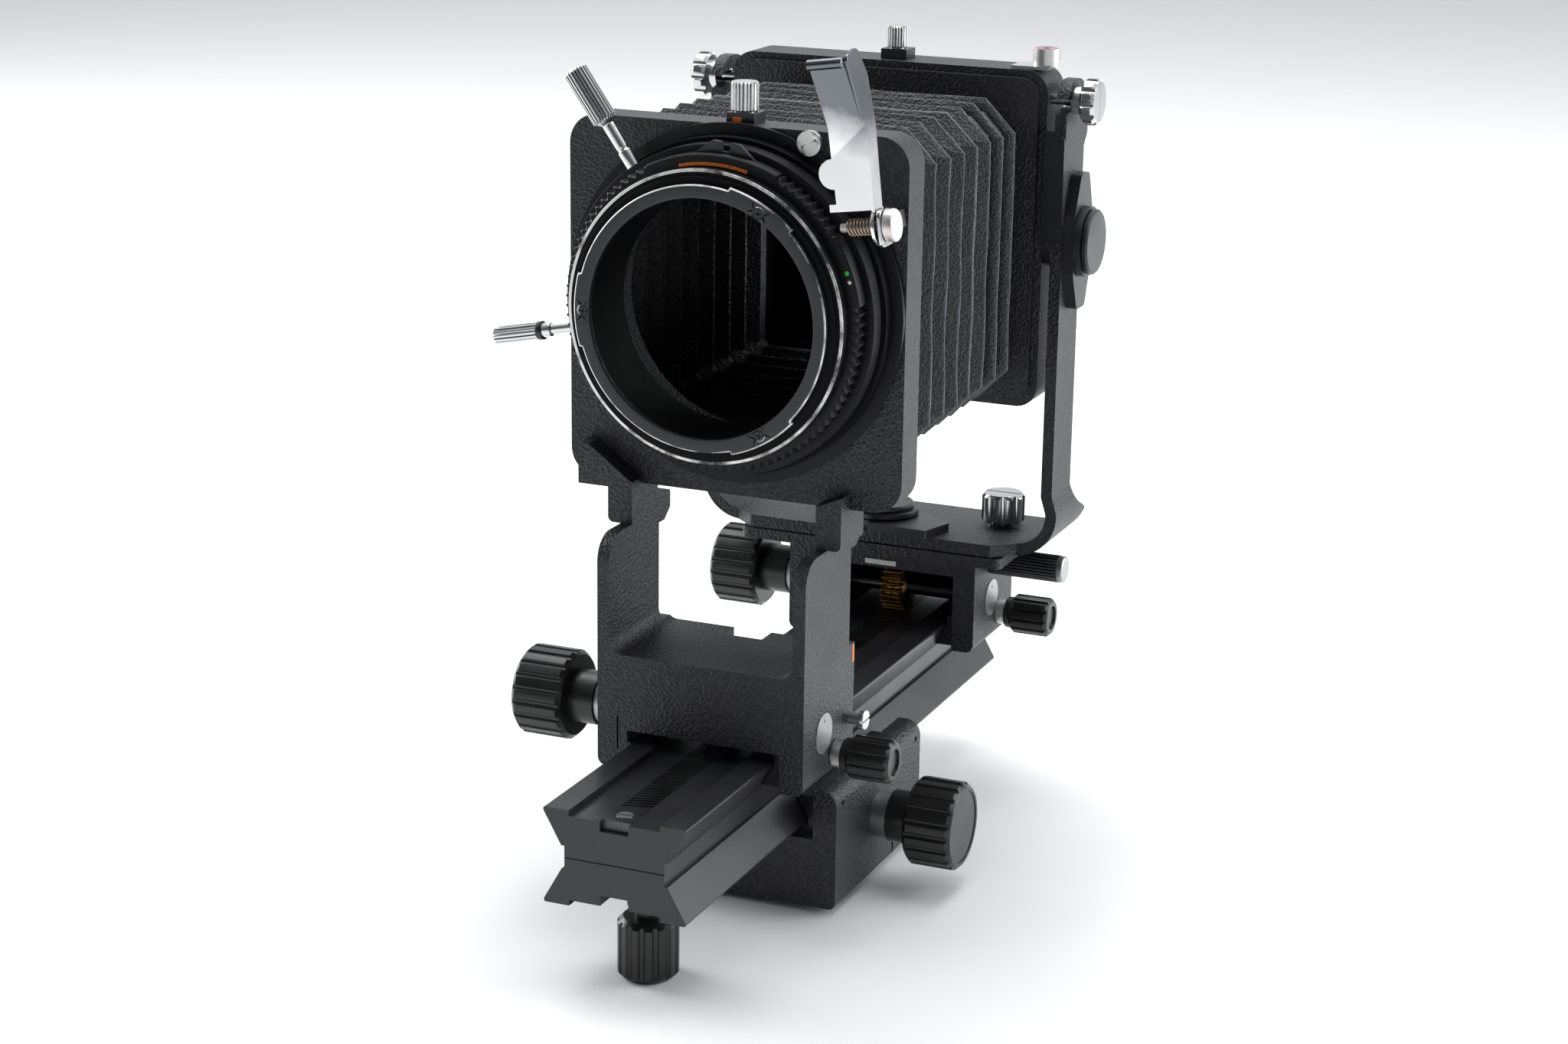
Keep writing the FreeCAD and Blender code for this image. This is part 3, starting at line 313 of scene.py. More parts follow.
def grip_plastic():
    """Moulded black grips: satin, with a fine tooth and a little dust."""
    n = Nodes("grip_plastic")
    point = n.point()
    cloud = n.noise(point, 60, 4)
    n.set(base_color=n.mix(cloud, grey(0.0075, 1.05), grey(0.014, 1.05)))
    n.set(roughness=n.spread(cloud, 0.3, 0.7, 0.27, 0.38), specular_ior_level=0.5)
    n.bump(n.noise(point, 2400, 3), 0.10, 0.00012)
    return n.material


def bright_metal(name, colour, rough, stretch=(1, 1, 1), scale=900, bump=0.06):
    """Plated or turned bright metal with faint tool lines and handling haze."""
    n = Nodes(name)
    lines = n.noise(n.point(scale=stretch), scale, 3)
    haze = n.noise(n.point(), 60, 4, 0.6)
    n.set(base_color=n.mix(haze, tuple(c * 0.82 for c in colour[:3]) + (1,), colour), metallic=1.0)
    n.set(roughness=n.spread(haze, 0.3, 0.7, rough * 0.75, rough * 1.35))
    n.bump(lines, bump, 0.00008)
    return n.material


def plated_sheet():
    """Bright plated sheet, darkened towards the leaning pad as painted shade, with fine handling marks."""
    n = Nodes("plated_sheet")
    point = n.point()
    height = n.add("ShaderNodeSeparateXYZ", {0: point}).outputs["Z"]
    rise = n.math("SUBTRACT", height, middle("stop_lever").z)
    haze = n.noise(point, 55, 4, 0.6)
    # Painted shade: the sheet turns dark towards the top, by height with a little noise.
    painted_shade_top = n.spread(n.math("ADD", rise, n.math("MULTIPLY", haze, 0.016)), 0.006, 0.020, 0.0, 1.0)
    painted_shade_top = n.math("MINIMUM", painted_shade_top, 1.0)
    bright = n.mix(haze, (0.88, 0.89, 0.90, 1), (0.97, 0.97, 0.97, 1))
    n.set(base_color=n.mix(n.math("MAXIMUM", painted_shade_top, 0.0), bright, (0.16, 0.17, 0.19, 1)), metallic=1.0)
    n.set(roughness=n.spread(haze, 0.3, 0.7, 0.13, 0.24))
    n.bump(n.noise(n.point(), 1300, 3), 0.05, 0.00008)
    return n.material


def knurled_metal(name, colour, rough):
    """Bright turned metal. The recess attribute darkens the bottoms of flutes and knurling as painted shade.
    """
    n = Nodes(name)
    recess = n.add("ShaderNodeAttribute", attribute_name="recess").outputs["Fac"]
    haze = n.noise(n.point(), 90, 4, 0.6)
    # Painted shade in the grooves, full where the recess attribute is 1.
    painted_groove_shade = n.math("MULTIPLY", recess, n.spread(haze, 0.3, 0.7, 0.75, 1.0), clamp=True)
    bare = n.mix(haze, tuple(c * 0.8 for c in colour[:3]) + (1,), colour)
    n.set(base_color=n.mix(painted_groove_shade, bare, (0.045, 0.045, 0.05, 1)), metallic=1.0)
    n.set(roughness=n.spread(haze, 0.3, 0.7, rough * 0.8, rough * 1.3))
    n.bump(n.noise(n.point(), 1500, 3), 0.05, 0.00008)
    return n.material


def worn_edge(inner_radius):
    """Black finish rubbed through to bright metal in patches, only outside a radius from the lens axis."""
    n = Nodes("worn_edge")
    point = n.point()
    centre = (0, 0, middle("bayonet_flange").z)
    away = n.add("ShaderNodeVectorMath", {0: point, 1: centre}, operation="SUBTRACT").outputs[0]
    flat = n.add("ShaderNodeVectorMath", {0: away, 1: (1, 0, 1)}, operation="MULTIPLY").outputs[0]
    radius = n.add("ShaderNodeVectorMath", {0: flat}, operation="LENGTH").outputs["Value"]
    outside = n.math("GREATER_THAN", radius, inner_radius)
    across = n.add("ShaderNodeSeparateXYZ", {0: point}).outputs["X"]
    rubbed = n.math("SUBTRACT", n.noise(point, 75, 5, 0.66), n.math("MULTIPLY", across, 1.6))
    patch = n.math("MAXIMUM", n.spread(rubbed, 0.38, 0.56, 0.0, 1.0), 0.0)
    share = n.math("MULTIPLY", n.math("MINIMUM", patch, 1.0), outside, clamp=True)
    n.set(base_color=n.mix(share, grey(0.02), (0.80, 0.79, 0.77, 1)), metallic=n.math("MULTIPLY", share, 0.6))
    n.set(roughness=0.36)
    n.bump(n.noise(point, 1300, 3), 0.12, 0.0001)
    return n.material


def geared_shaft():
    """Dark steel shaft whose pinion, within 4 mm of the middle, is oiled brass."""
    n = Nodes("geared_shaft")
    point = n.point()
    across = n.add("ShaderNodeSeparateXYZ", {0: point}).outputs["X"]
    pinion = n.math("LESS_THAN", n.math("ABSOLUTE", across, 0.0), PINION_HALF)
    patch = n.noise(point, 300, 4, 0.7)
    steel = n.mix(patch, grey(0.05), grey(0.09))
    n.set(base_color=n.mix(pinion, steel, n.mix(patch, (0.10, 0.055, 0.02, 1), (0.62, 0.36, 0.11, 1))))
    n.set(metallic=1.0, roughness=0.34)
    n.bump(patch, 0.1, 0.0001)
    return n.material


def signal_paint(name, colour):
    """Chipped paint of the small coloured marks."""
    n = Nodes(name)
    chips = n.spread(n.noise(n.point(), 900, 3, 0.7), 0.30, 0.42, 0.0, 1.0)
    n.set(base_color=n.mix(chips, grey(0.03), colour), roughness=0.5)
    n.bump(chips, 0.15, 0.00005)
    return n.material


def bellows_leather():
    """Grained black leather. The wear attribute greys the crests of the folds."""
    n = Nodes("bellows_leather")
    place = n.point()
    grain = n.cells(place, 1250)
    fine = n.noise(place, 2400, 3)
    creases = n.noise(place, 85, 5, 0.62)
    worn = n.add("ShaderNodeAttribute", attribute_name="wear").outputs["Fac"]
    base = n.mix(n.noise(place, 40, 4), grey(0.0050, 1.22), grey(0.0110, 1.22))
    base = n.mix(n.spread(grain, 0.30, 0.66, 0.0, 0.6), base, grey(0.050, 1.22))
    rubbed = n.math("MULTIPLY", worn, n.spread(creases, 0.3, 0.65, 0.4, 0.95), clamp=True)
    n.set(base_color=n.mix(rubbed, base, grey(0.15, 1.15)))
    n.set(roughness=n.spread(grain, 0.0, 0.6, 0.60, 0.42), specular_ior_level=0.45)
    height = n.math("ADD", grain, n.math("MULTIPLY", fine, 0.3))
    n.bump(n.math("ADD", height, n.math("MULTIPLY", creases, 0.8)), 0.85, 0.00055)
    return n.material


def make_materials():
    return {
        "paint": crinkle_paint(),
        "frame": crinkle_paint("frame_paint", WELL_HALF),
        # Painted shade: barrel_black and lens_black are darker, less glossy copies of the turned black, for
        # the throat and the lens parts.
        "barrel": black_turned("barrel_black", 0.42, 0.35, 0.08),
        "lens": black_turned("lens_black", 0.38, 0.55, 0.20),
        "rail": brushed_black("rail_anodised", 1, 0.30, 0.013),
        "turned": black_turned(),
        "grip": grip_plastic(),
        "chrome": bright_metal("chrome", (0.66, 0.67, 0.68, 1), 0.17, bump=0.03),
        "plated": plated_sheet(),
        "knurl": knurled_metal("knurled_chrome", (0.74, 0.75, 0.76, 1), 0.20),
        "worn": worn_edge(FLANGE_EDGE),
        "spring": bright_metal("spring_wire", (0.42, 0.33, 0.25, 1), 0.30),
        "dark_metal": knurled_metal("dark_ribbed", (0.11, 0.11, 0.115, 1), 0.38),
        "satin": bright_metal("satin_steel", (0.74, 0.73, 0.72, 1), 0.30, scale=1400),
        "pale": bright_metal("pale_nickel", (0.80, 0.77, 0.74, 1), 0.48, scale=1400),
        "disc": bright_metal("brushed_disc", (0.46, 0.47, 0.48, 1), 0.40, stretch=(1, 0.06, 1), scale=1600,
                             bump=0.14),
        "rack": bright_metal("blackened_rack", (0.095, 0.095, 0.098, 1), 0.36, scale=1200, bump=0.1),
        "gear": geared_shaft(),
        "orange": signal_paint("orange_mark", (0.90, 0.22, 0.02, 1)),
        "white": signal_paint("white_mark", (0.80, 0.80, 0.78, 1)),
        "green": signal_paint("green_mark", (0.05, 0.62, 0.10, 1)),
        "red": signal_paint("red_mark", (0.50, 0.015, 0.015, 1)),
        "leather": bellows_leather(),
    }


# ------------------------------------------------------------------ mesh helpers

def soften(profile, radius, steps=3):
    """Rounds the corners of an (along, out) outline in metres, apart from its first and last point."""
    count = len(profile)
    rounded = []
    for i, here in enumerate(profile):
        if i in (0, count - 1):
            rounded.append(here)
            continue
        corner = Vector(here)
        before = Vector(profile[i - 1]) - corner
        after = Vector(profile[i + 1]) - corner
        reach = min(radius, 0.45 * before.length, 0.45 * after.length)
        first = corner + before.normalized() * reach
        last = corner + after.normalized() * reach
        for step in range(steps + 1):
            t = step / steps
            rounded.append(tuple(first * (1 - t) ** 2 + corner * 2 * t * (1 - t) + last * t * t))
    return rounded


def lathe(profile, origin, axis, segments=96, radius_at=None, closed=False, depth=0.0):
    """Turns an (along, out) outline about an axis and returns its vertices, faces and recess from 0 to 1.

    radius_at(angle, radius) may pull the surface in, and depth is how far that counts as a full recess.
    """
    axis = Vector(axis).normalized()
    side = X if abs(axis.x) < 0.5 else Y
    up = axis.cross(side).normalized()
    side = up.cross(axis)
    verts, faces, rings, recess = [], [], [], []
    for along, radius in profile:
        if radius < 1e-7:
            rings.append([len(verts)])
            verts.append(origin + axis * along)
            recess.append(0.0)
            continue
        ring = []
        for i in range(segments):
            angle = 2 * math.pi * i / segments
            r = radius_at(angle, radius) if radius_at else radius
            ring.append(len(verts))
            verts.append(origin + axis * along + (side * math.cos(angle) + up * math.sin(angle)) * r)
            recess.append(min(1.0, (radius - r) / depth) if depth else 0.0)
        rings.append(ring)
    pairs = list(zip(rings, rings[1:])) + ([(rings[-1], rings[0])] if closed else [])
    for first, second in pairs:
        for i in range(segments):
            j = (i + 1) % segments
            near = [first[i % len(first)], first[j % len(first)]]
            far = [second[j % len(second)], second[i % len(second)]]
            unique = list(dict.fromkeys(near + far))
            if len(unique) > 2:
                faces.append(unique)
    return verts, faces, recess


def piece(name, shape, material, body, smooth=38, replaces=(), extra="recess", outward=True):
    """Object from (vertices, faces, values of the extra attribute) that rides on a body, if one is named."""
    verts, faces, values = shape
    mesh = bpy.data.meshes.new(name)
    mesh.from_pydata([tuple(v) for v in verts], [], faces)
    if outward:
        build = bmesh.new()
        build.from_mesh(mesh)
        bmesh.ops.recalc_face_normals(build, faces=build.faces)
        build.to_mesh(mesh)
        build.free()
    if any(values):
        attribute = mesh.attributes.new(extra, "FLOAT", "POINT")
        attribute.data.foreach_set("value", values)
    mesh.polygons.foreach_set("use_smooth", [True] * len(mesh.polygons))
    mesh.set_sharp_from_angle(angle=math.radians(smooth))
    mesh.materials.append(material)
    made = bpy.data.objects.new(name, mesh)
    bpy.context.scene.collection.objects.link(made)
    if body:
        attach(made, body)
    if replaces:
        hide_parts(*replaces)
    return made


def joined(*shapes):
    """One shape from several that all have the extra values, or none of them."""
    verts, faces, values = [], [], []
    for shape in shapes:
        start = len(verts)
        verts += shape[0]
        faces += [[start + i for i in face] for face in shape[1]]
        values += shape[2]
    return verts, faces, values


def knurls(count, depth, outer):
    """Radius of a straight-knurled rod: sharp grooves take half of each pitch and leave crowned lands."""
    groove, crown_share = 0.5, 0.06

    def radius_at(angle, radius):
        phase = (angle * count / (2 * math.pi)) % 1.0
        t = abs(phase - 0.5) * 2
        if t >= groove:
            crown = (t - groove) / (1 - groove)
            return min(radius, outer - crown_share * depth * (1 - crown) ** 2)
        return min(radius, outer - depth * (crown_share + (1 - crown_share) * (1 - t / groove)))
    return radius_at


make_camera()
make_studio()
make_floor()
M = make_materials()


# ------------------------------------------------------------------ CAD nodes that keep their shape

WELD_DISTANCE = 0.002 * MM
SHARP_ANGLE = math.radians(34)


def finish_node(name, material, bevel, edge_material=None):
    """Gives a CAD node its material and, without touching its vertices, slightly rounded edges."""
    node = frame["nodes"][name]
    node.data.materials.clear()
    node.data.materials.append(material)
    if edge_material:
        node.data.materials.append(edge_material)
    node.data.polygons.foreach_set("use_smooth", [True] * len(node.data.polygons))
    weld = node.modifiers.new("weld", "WELD")
    weld.merge_threshold = WELD_DISTANCE
    if bevel:
        edge = node.modifiers.new("edge", "BEVEL")
        edge.width = bevel * MM
        edge.segments = 2
        edge.limit_method = "ANGLE"
        edge.angle_limit = SHARP_ANGLE
        edge.use_clamp_overlap = True
        edge.miter_outer = "MITER_ARC"
        edge.material = 1 if edge_material else -1
    normals = node.modifiers.new("normals", "WEIGHTED_NORMAL")
    normals.keep_sharp = True
    normals.weight = 60


# Look, width of the rounded edges in millimetres, and the nodes that have both.
NODE_LOOKS = {
    "paint": (0.45, ["tripod_block", "front_standard", "rear_carriage", "yoke", "front_plate", "swing_base"]),
    "frame": (0.45, ["rear_frame"]),
    "barrel": (0.15, ["mount_barrel"]),
    "lens": (0.15, ["panel_disc", "lever_ring"]),
    "turned": (0.15, ["ring_fork", "swing_disc", "swing_lever", "tilt_pivots", "block_gib", "front_gib",
                      "rear_gib", "panel_lock_block", "frame_lock_block", "arm_covers", "pivot_plates",
                      "flange_screws"]),
    "rail": (0.35, ["upper_rail", "lower_rail"]),
    "gear": (0, ["block_pinion_shaft", "rear_pinion_shaft"]),
    # Painted shade: the front pinion, brass like the rear one, takes the dark rack metal where it sits in the
    # front opening.
    "rack": (0, ["front_pinion_shaft"]),
    "disc": (0.12, ["block_shaft_bushes", "front_shaft_bushes", "rear_shaft_bushes"]),
    "satin": (0.1, ["block_lock_screw", "front_lock_screw", "rear_lock_screw", "tripod_socket", "stop_stud",
                    "clamp_screw", "panel_button", "sync_socket"]),
    "chrome": (0.12, ["tilt_knob_right", "tilt_knob_left", "swing_knob"]),
    "plated": (0.12, ["stop_lever"]),
    "grip": (0.2, ["block_focus_knob", "front_focus_knob", "rear_focus_knob", "block_lock_knob",
                   "front_lock_knob", "rear_lock_knob", "stop_knob"]),
}
for look, (bevel, names) in NODE_LOOKS.items():
    for node_name in names:
        finish_node(node_name, M[look], bevel)
finish_node("bayonet_flange", M["turned"], 0.5, edge_material=M["worn"])


# ------------------------------------------------------------------ bellows

FOLDS = 8
FIRST_CREST = 10.3 * MM         # from the front end
LAST_CREST = 12.5 * MM          # from the rear end
FOLD_DEPTH = 8.8 * MM
TAPER = 1.6 * MM                # how much smaller the rear end is, on each side
CREST_CHAMFER, VALLEY_CHAMFER = 11.5 * MM, 1.5 * MM
SKIN = 0.5 * MM
SIDE_STEPS, CORNER_STEPS = 24, 2
ROOM = 0.1 * MM                 # the pleats stay this far inside the CAD solid
# The stretches between the bodies meet at these shares of the length.
BELLOWS_SPANS = [("front", "rail"), ("rail", "rear"), ("rear", "yoke"), ("yoke", "rear_frame")]
SPAN_ENDS = (0.547, 0.752, 0.865)


def bellows_loop(half, chamfer, centre_z):
    """(x, z) points round a square loop with cut corners."""
    corners = []
    for sx, sz in ((1, -1), (1, 1), (-1, 1), (-1, -1)):
        first = (sx * half, centre_z + sz * (half - chamfer))
        second = (sx * (half - chamfer), centre_z + sz * half)
        corners += [first, second] if sx * sz > 0 else [second, first]
    points = []
    for i, here in enumerate(corners):
        after = corners[(i + 1) % len(corners)]
        steps = SIDE_STEPS if i % 2 == 1 else CORNER_STEPS
        for step in range(steps):
            t = step / steps
            points.append((here[0] + (after[0] - here[0]) * t, here[1] + (after[1] - here[1]) * t))
    return points


def bellows_stations(start, end):
    """(y, depth below the crest from 0 to 1, wear) along the bellows."""
    pitch = (end - LAST_CREST - start - FIRST_CREST) / (FOLDS - 1)
    half = pitch / 2
    stations = [(start, 0.9, 0.0), (start + 0.3 * MM, 0.9, 0.0)]
    for fold in range(FOLDS):
        crest = start + FIRST_CREST + pitch * fold
        if fold:
            stations += [(crest - half, 1.0, 0.0), (crest - half + 0.45 * MM, 0.975, 0.0)]
        rise = [(half * 0.5, 0.50, 0.0), (0.70 * MM, 0.085, 0.1), (0.25 * MM, 0.0, 1.0)]
        stations += [(crest - away, deep, wear) for away, deep, wear in rise]
        stations += [(crest + away, deep, wear) for away, deep, wear in reversed(rise)]
        stations.append((crest + half - 0.45 * MM, 0.975, 0.0))
    return stations + [(end - 0.3 * MM, 0.9, 0.0), (end, 0.9, 0.0)]


def bellows_row(y, deep, share, outer, centre_z):
    """One loop of the pleated skin, with the slight unevenness of creased leather."""
    half = outer - TAPER * share - FOLD_DEPTH * deep
    chamfer = CREST_CHAMFER + (VALLEY_CHAMFER - CREST_CHAMFER) * deep
    row = []
    for x, z in bellows_loop(half, chamfer, centre_z):
        wave = math.sin(x * 95 + z * 61 + y * 41) * math.sin(z * 83 - x * 47 + y * 67)
        fine = math.sin(x * 390 + y * 210) * math.sin(z * 350 + y * 170)
        sink = 1 - (0.35 * MM * abs(wave) + 0.12 * MM * abs(fine)) * (1 - deep) / half
        ripple = 0.55 * MM * wave * (1 - 0.6 * deep)
        row.append(Vector((x * sink, y + ripple, centre_z + (z - centre_z) * sink)))
    return row


def make_bellows():
    """Pleated leather in four stretches, one for each joint that it spans."""
    lowest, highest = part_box("bellows")
    centre_z = (lowest.z + highest.z) / 2
    start, end = lowest.y + ROOM, highest.y - ROOM
    outer = (highest.x - lowest.x) / 2 - ROOM
    stations = bellows_stations(start, end)
    rows = [bellows_row(y, deep, (y - start) / (end - start), outer, centre_z) for y, deep, wear in stations]
    count = len(rows[0])
    cuts = [0]
    for share in SPAN_ENDS:
        wanted = start + (end - start) * share
        cuts.append(min(range(len(stations)), key=lambda k: abs(stations[k][0] - wanted)))
    cuts.append(len(stations) - 1)
    for part, (body_a, body_b) in enumerate(BELLOWS_SPANS):
        first, last = cuts[part], cuts[part + 1]
        verts = [place for row in rows[first:last + 1] for place in row]
        wear = [stations[k][2] for k in range(first, last + 1) for place in rows[k]]
        faces = []
        for k in range(last - first):
            for i in range(count):
                j = (i + 1) % count
                faces.append([k * count + i, (k + 1) * count + i, (k + 1) * count + j, k * count + j])
        made = piece("bellows_fold_%d" % (part + 1), (verts, faces, wear), M["leather"], None, 24,
                     extra="wear", outward=False)
        thick = made.modifiers.new("thick", "SOLIDIFY")
        thick.thickness = SKIN
        thick.offset = -1
        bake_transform(made)
        if part == 0:
            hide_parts("bellows")


make_bellows()


# ------------------------------------------------------------------ lens mount

LENS = Vector((0, 0, middle("lever_ring").z))
TOOTH_PITCH = 3.6               # degrees
TOOTH_DEPTH = 1.5 * MM
TOOTHED_FROM = 50.5 * MM        # radius
SMOOTH_SECTORS = ((8, 34), (64, 116))


def lens_direction(degrees):
    """Direction across the lens axis, from +X towards +Z."""
    angle = math.radians(degrees)
    return X * math.cos(angle) + Z * math.sin(angle)


def arc_band(radius, width, y, thick, first, last):
    """Flat curved band about the lens axis, in a plane across it."""
    steps = max(4, int(abs(last - first) / 2))
    verts, faces = [], []
    for i in range(steps + 1):
        out = lens_direction(first + (last - first) * i / steps)
        for r, depth in ((radius, 0), (radius + width, 0), (radius + width, thick), (radius, thick)):
            verts.append(LENS + out * r + Y * (y + depth))
    for i in range(steps):
        for k in range(4):
            a, b = i * 4 + k, i * 4 + (k + 1) % 4
            faces.append([a, b, b + 4, a + 4])
    faces += [[0, 1, 2, 3], [steps * 4 + k for k in (3, 2, 1, 0)]]
    return verts, faces, []


def dot(place, normal, radius, height):
    """Slightly domed round mark."""
    profile = soften([(-height, radius), (height * 0.6, radius), (height, radius * 0.6), (height, 0.0)],
                     radius * 0.3)
    return lathe(profile, place, normal, 24)


def ring_teeth(angle, radius):
    """Coarse teeth round the turning ring's rim, left smooth beside the two dots and under the fork."""
    degrees = math.degrees(angle) % 360
    if radius < TOOTHED_FROM or any(first < degrees < last for first, last in SMOOTH_SECTORS):
        return radius
    slope = abs((degrees / TOOTH_PITCH) % 1.0 - 0.5) * 2
    return radius - TOOTH_DEPTH * min(1.0, slope * 1.4)


def make_grip_ring():
    """Turning ring in front of the lever ring."""
    front, back = low("grip_ring").y, high("grip_ring").y
    width, inner, outer = back - front, 47.9 * MM, high("grip_ring").x
    profile = soften([(0, inner), (0, outer - 0.5 * MM), (0.5 * MM, outer), (width - 0.6 * MM, outer),
                      (width, outer - 0.6 * MM), (width, inner)], 0.12 * MM)
    ring = lathe(profile, LENS + Y * back, -Y, 900, ring_teeth, closed=True, depth=TOOTH_DEPTH)
    piece("toothed_ring", ring, M["lens"], "lens_ring", 32, replaces=("grip_ring",))


def make_lens_marks():
    """Rubbed rim of the mount, and the coloured marks on the turning ring."""
    rim = soften([(0, 47.3 * MM), (0, 48.28 * MM), (0.55 * MM, 48.28 * MM), (0.55 * MM, 47.3 * MM)],
                 0.15 * MM)
    rim_y = low("bayonet_flange").y + 3.35 * MM
    piece("rim_wear", lathe(rim, LENS + Y * rim_y, Y, 160, closed=True), M["worn"], "front")
    ring_front = low("grip_ring").y
    index_arc = arc_band(48.6 * MM, 1.0 * MM, ring_front - 0.25 * MM, 0.4 * MM, 103, 75)
    piece("orange_index_arc", index_arc, M["orange"],
          "lens_ring")
    for name, degrees, radius, look in (("green_dot", 21.0, 0.75 * MM, "green"),
                                        ("white_dot", 17.6, 0.62 * MM, "white")):
        place = LENS + lens_direction(degrees) * 50.6 * MM + Y * (ring_front - 0.05 * MM)
        piece(name, dot(place, -Y, radius, 0.12 * MM), M[look], "lens_ring")


def knurled_head(start, end, radius, count, depth, chamfer):
    """Outline, shape and fineness of a straight-knurled head with chamfered ends."""
    profile = [(start, 0.0), (start, radius - chamfer), (start + chamfer, radius)]
    steps = 4
    for i in range(1, steps):
        profile.append((start + chamfer + (end - start - 2 * chamfer) * i / steps, radius))
    profile += [(end - chamfer, radius), (end, radius - chamfer), (end, 0.0)]
    return {"profile": profile, "radius_at": knurls(count, depth, radius), "segments": count * 10,
            "depth": depth}


def make_ring_levers():
    """Two knurled levers that stand out from the lever ring."""
    hub = Vector((0, middle("lever_ring").y, LENS.z))
    out = lens_direction(125.5)
    neck = soften([(54.3 * MM, 0.0), (54.3 * MM, 2.25 * MM), (60.4 * MM, 2.25 * MM), (60.7 * MM, 1.8 * MM),
                   (61.3 * MM, 1.8 * MM), (61.6 * MM, 2.0 * MM), (70.4 * MM, 2.0 * MM), (71.9 * MM, 3.4 * MM),
                   (72.2 * MM, 0.0)], 0.25 * MM)
    grip = knurled_head(71.9 * MM, 91.3 * MM, 4.15 * MM, 22, 0.55 * MM, 0.7 * MM)
    head = lathe(origin=hub, axis=out, **grip)
    piece("ring_lever_long", joined(lathe(neck, hub, out, 48), head), M["knurl"], "lens_ring",
          30, replaces=("ring_levers",))
    out = lens_direction(191.5)
    neck = soften([(54.3 * MM, 0.0), (54.3 * MM, 1.7 * MM), (62.5 * MM, 1.7 * MM), (63.2 * MM, 2.4 * MM),
                   (66.2 * MM, 2.6 * MM), (66.5 * MM, 0.0)], 0.2 * MM)
    grip = knurled_head(67.6 * MM, 84.6 * MM, 3.0 * MM, 12, 0.30 * MM, 0.5 * MM)
    head = lathe(origin=hub, axis=out, **grip)
    piece("ring_lever_short", joined(lathe(neck, hub, out, 48), head), M["knurl"], "lens_ring",
          30)
    inner, outer = 2.0 * MM, 3.15 * MM
    band = soften([(66.1 * MM, inner), (66.1 * MM, outer), (67.9 * MM, outer), (67.9 * MM, inner)],
                  0.15 * MM)
    piece("ring_lever_band", lathe(band, hub, out, 48, closed=True), M["turned"], "lens_ring")


def make_top_knob(node, body, height, count):
    """Straight-knurled screw on top of a frame."""
    top, half = high(node).z, (high(node).x - low(node).x) / 2
    place = middle(node)
    place.z = top - height
    head = lathe(origin=place, axis=Z, **knurled_head(0, height, half, count, 0.42 * MM, 0.5 * MM))
    foot = soften([(-4.2 * MM, 0), (-4.2 * MM, 1.5 * MM), (-0.9 * MM, 1.5 * MM), (-0.9 * MM, half * 0.8),
                   (0.1 * MM, half * 0.8), (0.1 * MM, 0)], 0.15 * MM)
    piece(node + "_knurled", joined(head, lathe(foot, place, Z, 40)), M["knurl"], body, 30,
          replaces=(node,))


make_grip_ring()
make_lens_marks()
make_ring_levers()
make_top_knob("panel_lock_knob", "panel_lock", 9.6 * MM, 22)
make_top_knob("frame_lock_knob", "frame_lock", 7.8 * MM, 20)


# ------------------------------------------------------------------ rack, spring, rod and small marks

RACK_PITCH = math.pi * 0.75 * MM
RACK_FIRST_GAP = 17.0 * MM
RACK_TEETH = 110
RACK_LEAN = 0.30                # rise of a tooth along the rail for its run across it
RACK_HALF = 4.9 * MM
RACK_TOOTH = 1.55 * MM
RACK_GROOVE = 5.4 * MM
PLAIN_FRONT, PLAIN_REAR = 12 * MM, 6 * MM
LOWER_RACK_START = 43.0 * MM    # behind the upper rack's front end
SCREW_INSET = 6.0 * MM


def rack_rows(y0, y1, base, top, rail_start):
    """(y, z, lean) along a rack's toothed face. Its two ends are square."""
    up = 1 if top > base else -1
    rows = [(y0, top, 0), (y0 + 0.01 * MM, top, 0)]
    for i in range(RACK_TEETH):
        gap = rail_start + RACK_FIRST_GAP + i * RACK_PITCH
        if y0 + PLAIN_FRONT <= gap <= y1 - PLAIN_REAR:
            for share, sink in ((-0.27, 0), (-0.12, 1), (0.12, 1), (0.27, 0)):
                rows.append((gap + share * RACK_PITCH, top - up * RACK_TOOTH * sink, RACK_LEAN))
    return rows + [(y1, top, 0)]


def rack_strip(y0, y1, base, top, rail_start):
    """Rack with slanted teeth between plain ends. top may lie below base on the lower rail."""
    rows = rack_rows(y0, y1, base, top, rail_start)
    verts = [Vector((x, y + lean * x, z)) for y, z, lean in rows for x in (-RACK_HALF, 0, RACK_HALF)]
    start = len(verts)
    verts += [Vector((x, y + lean * x, base)) for y, z, lean in rows for x in (-RACK_HALF, RACK_HALF)]
    faces = []
    for r in range(len(rows) - 1):
        left, centre, right = 3 * r, 3 * r + 1, 3 * r + 2
        foot_left, foot_right = start + 2 * r, start + 2 * r + 1
        faces += [[left, centre, centre + 3, left + 3], [centre, right, right + 3, centre + 3],
                  [left, left + 3, foot_left + 2, foot_left], [right, foot_right, foot_right + 2, right + 3],
                  [foot_left, foot_left + 2, foot_right + 2, foot_right]]
    last = len(rows) - 1
    faces += [[0, 1, 2, start + 1, start],
              [3 * last + 2, 3 * last + 1, 3 * last, start + 2 * last, start + 2 * last + 1]]
    return verts, faces, []


def make_racks():
    """Upper and lower rack, screwed into the rails' grooves."""
    rail_low, rail_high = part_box("upper_rail")
    under = low("lower_rail").z
    rack_low, rack_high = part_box("racks")
    recess = rail_high.z - rack_high.z
    upper = rack_strip(rack_low.y, rack_high.y, rail_high.z - RACK_GROOVE, rack_high.z, rail_low.y)
    lower = rack_strip(rack_low.y + LOWER_RACK_START, rack_high.y, under + RACK_GROOVE, under + recess,
                       rail_low.y)
    piece("slanted_racks", joined(upper, lower), M["rack"], "rail", 25, replaces=("racks",))


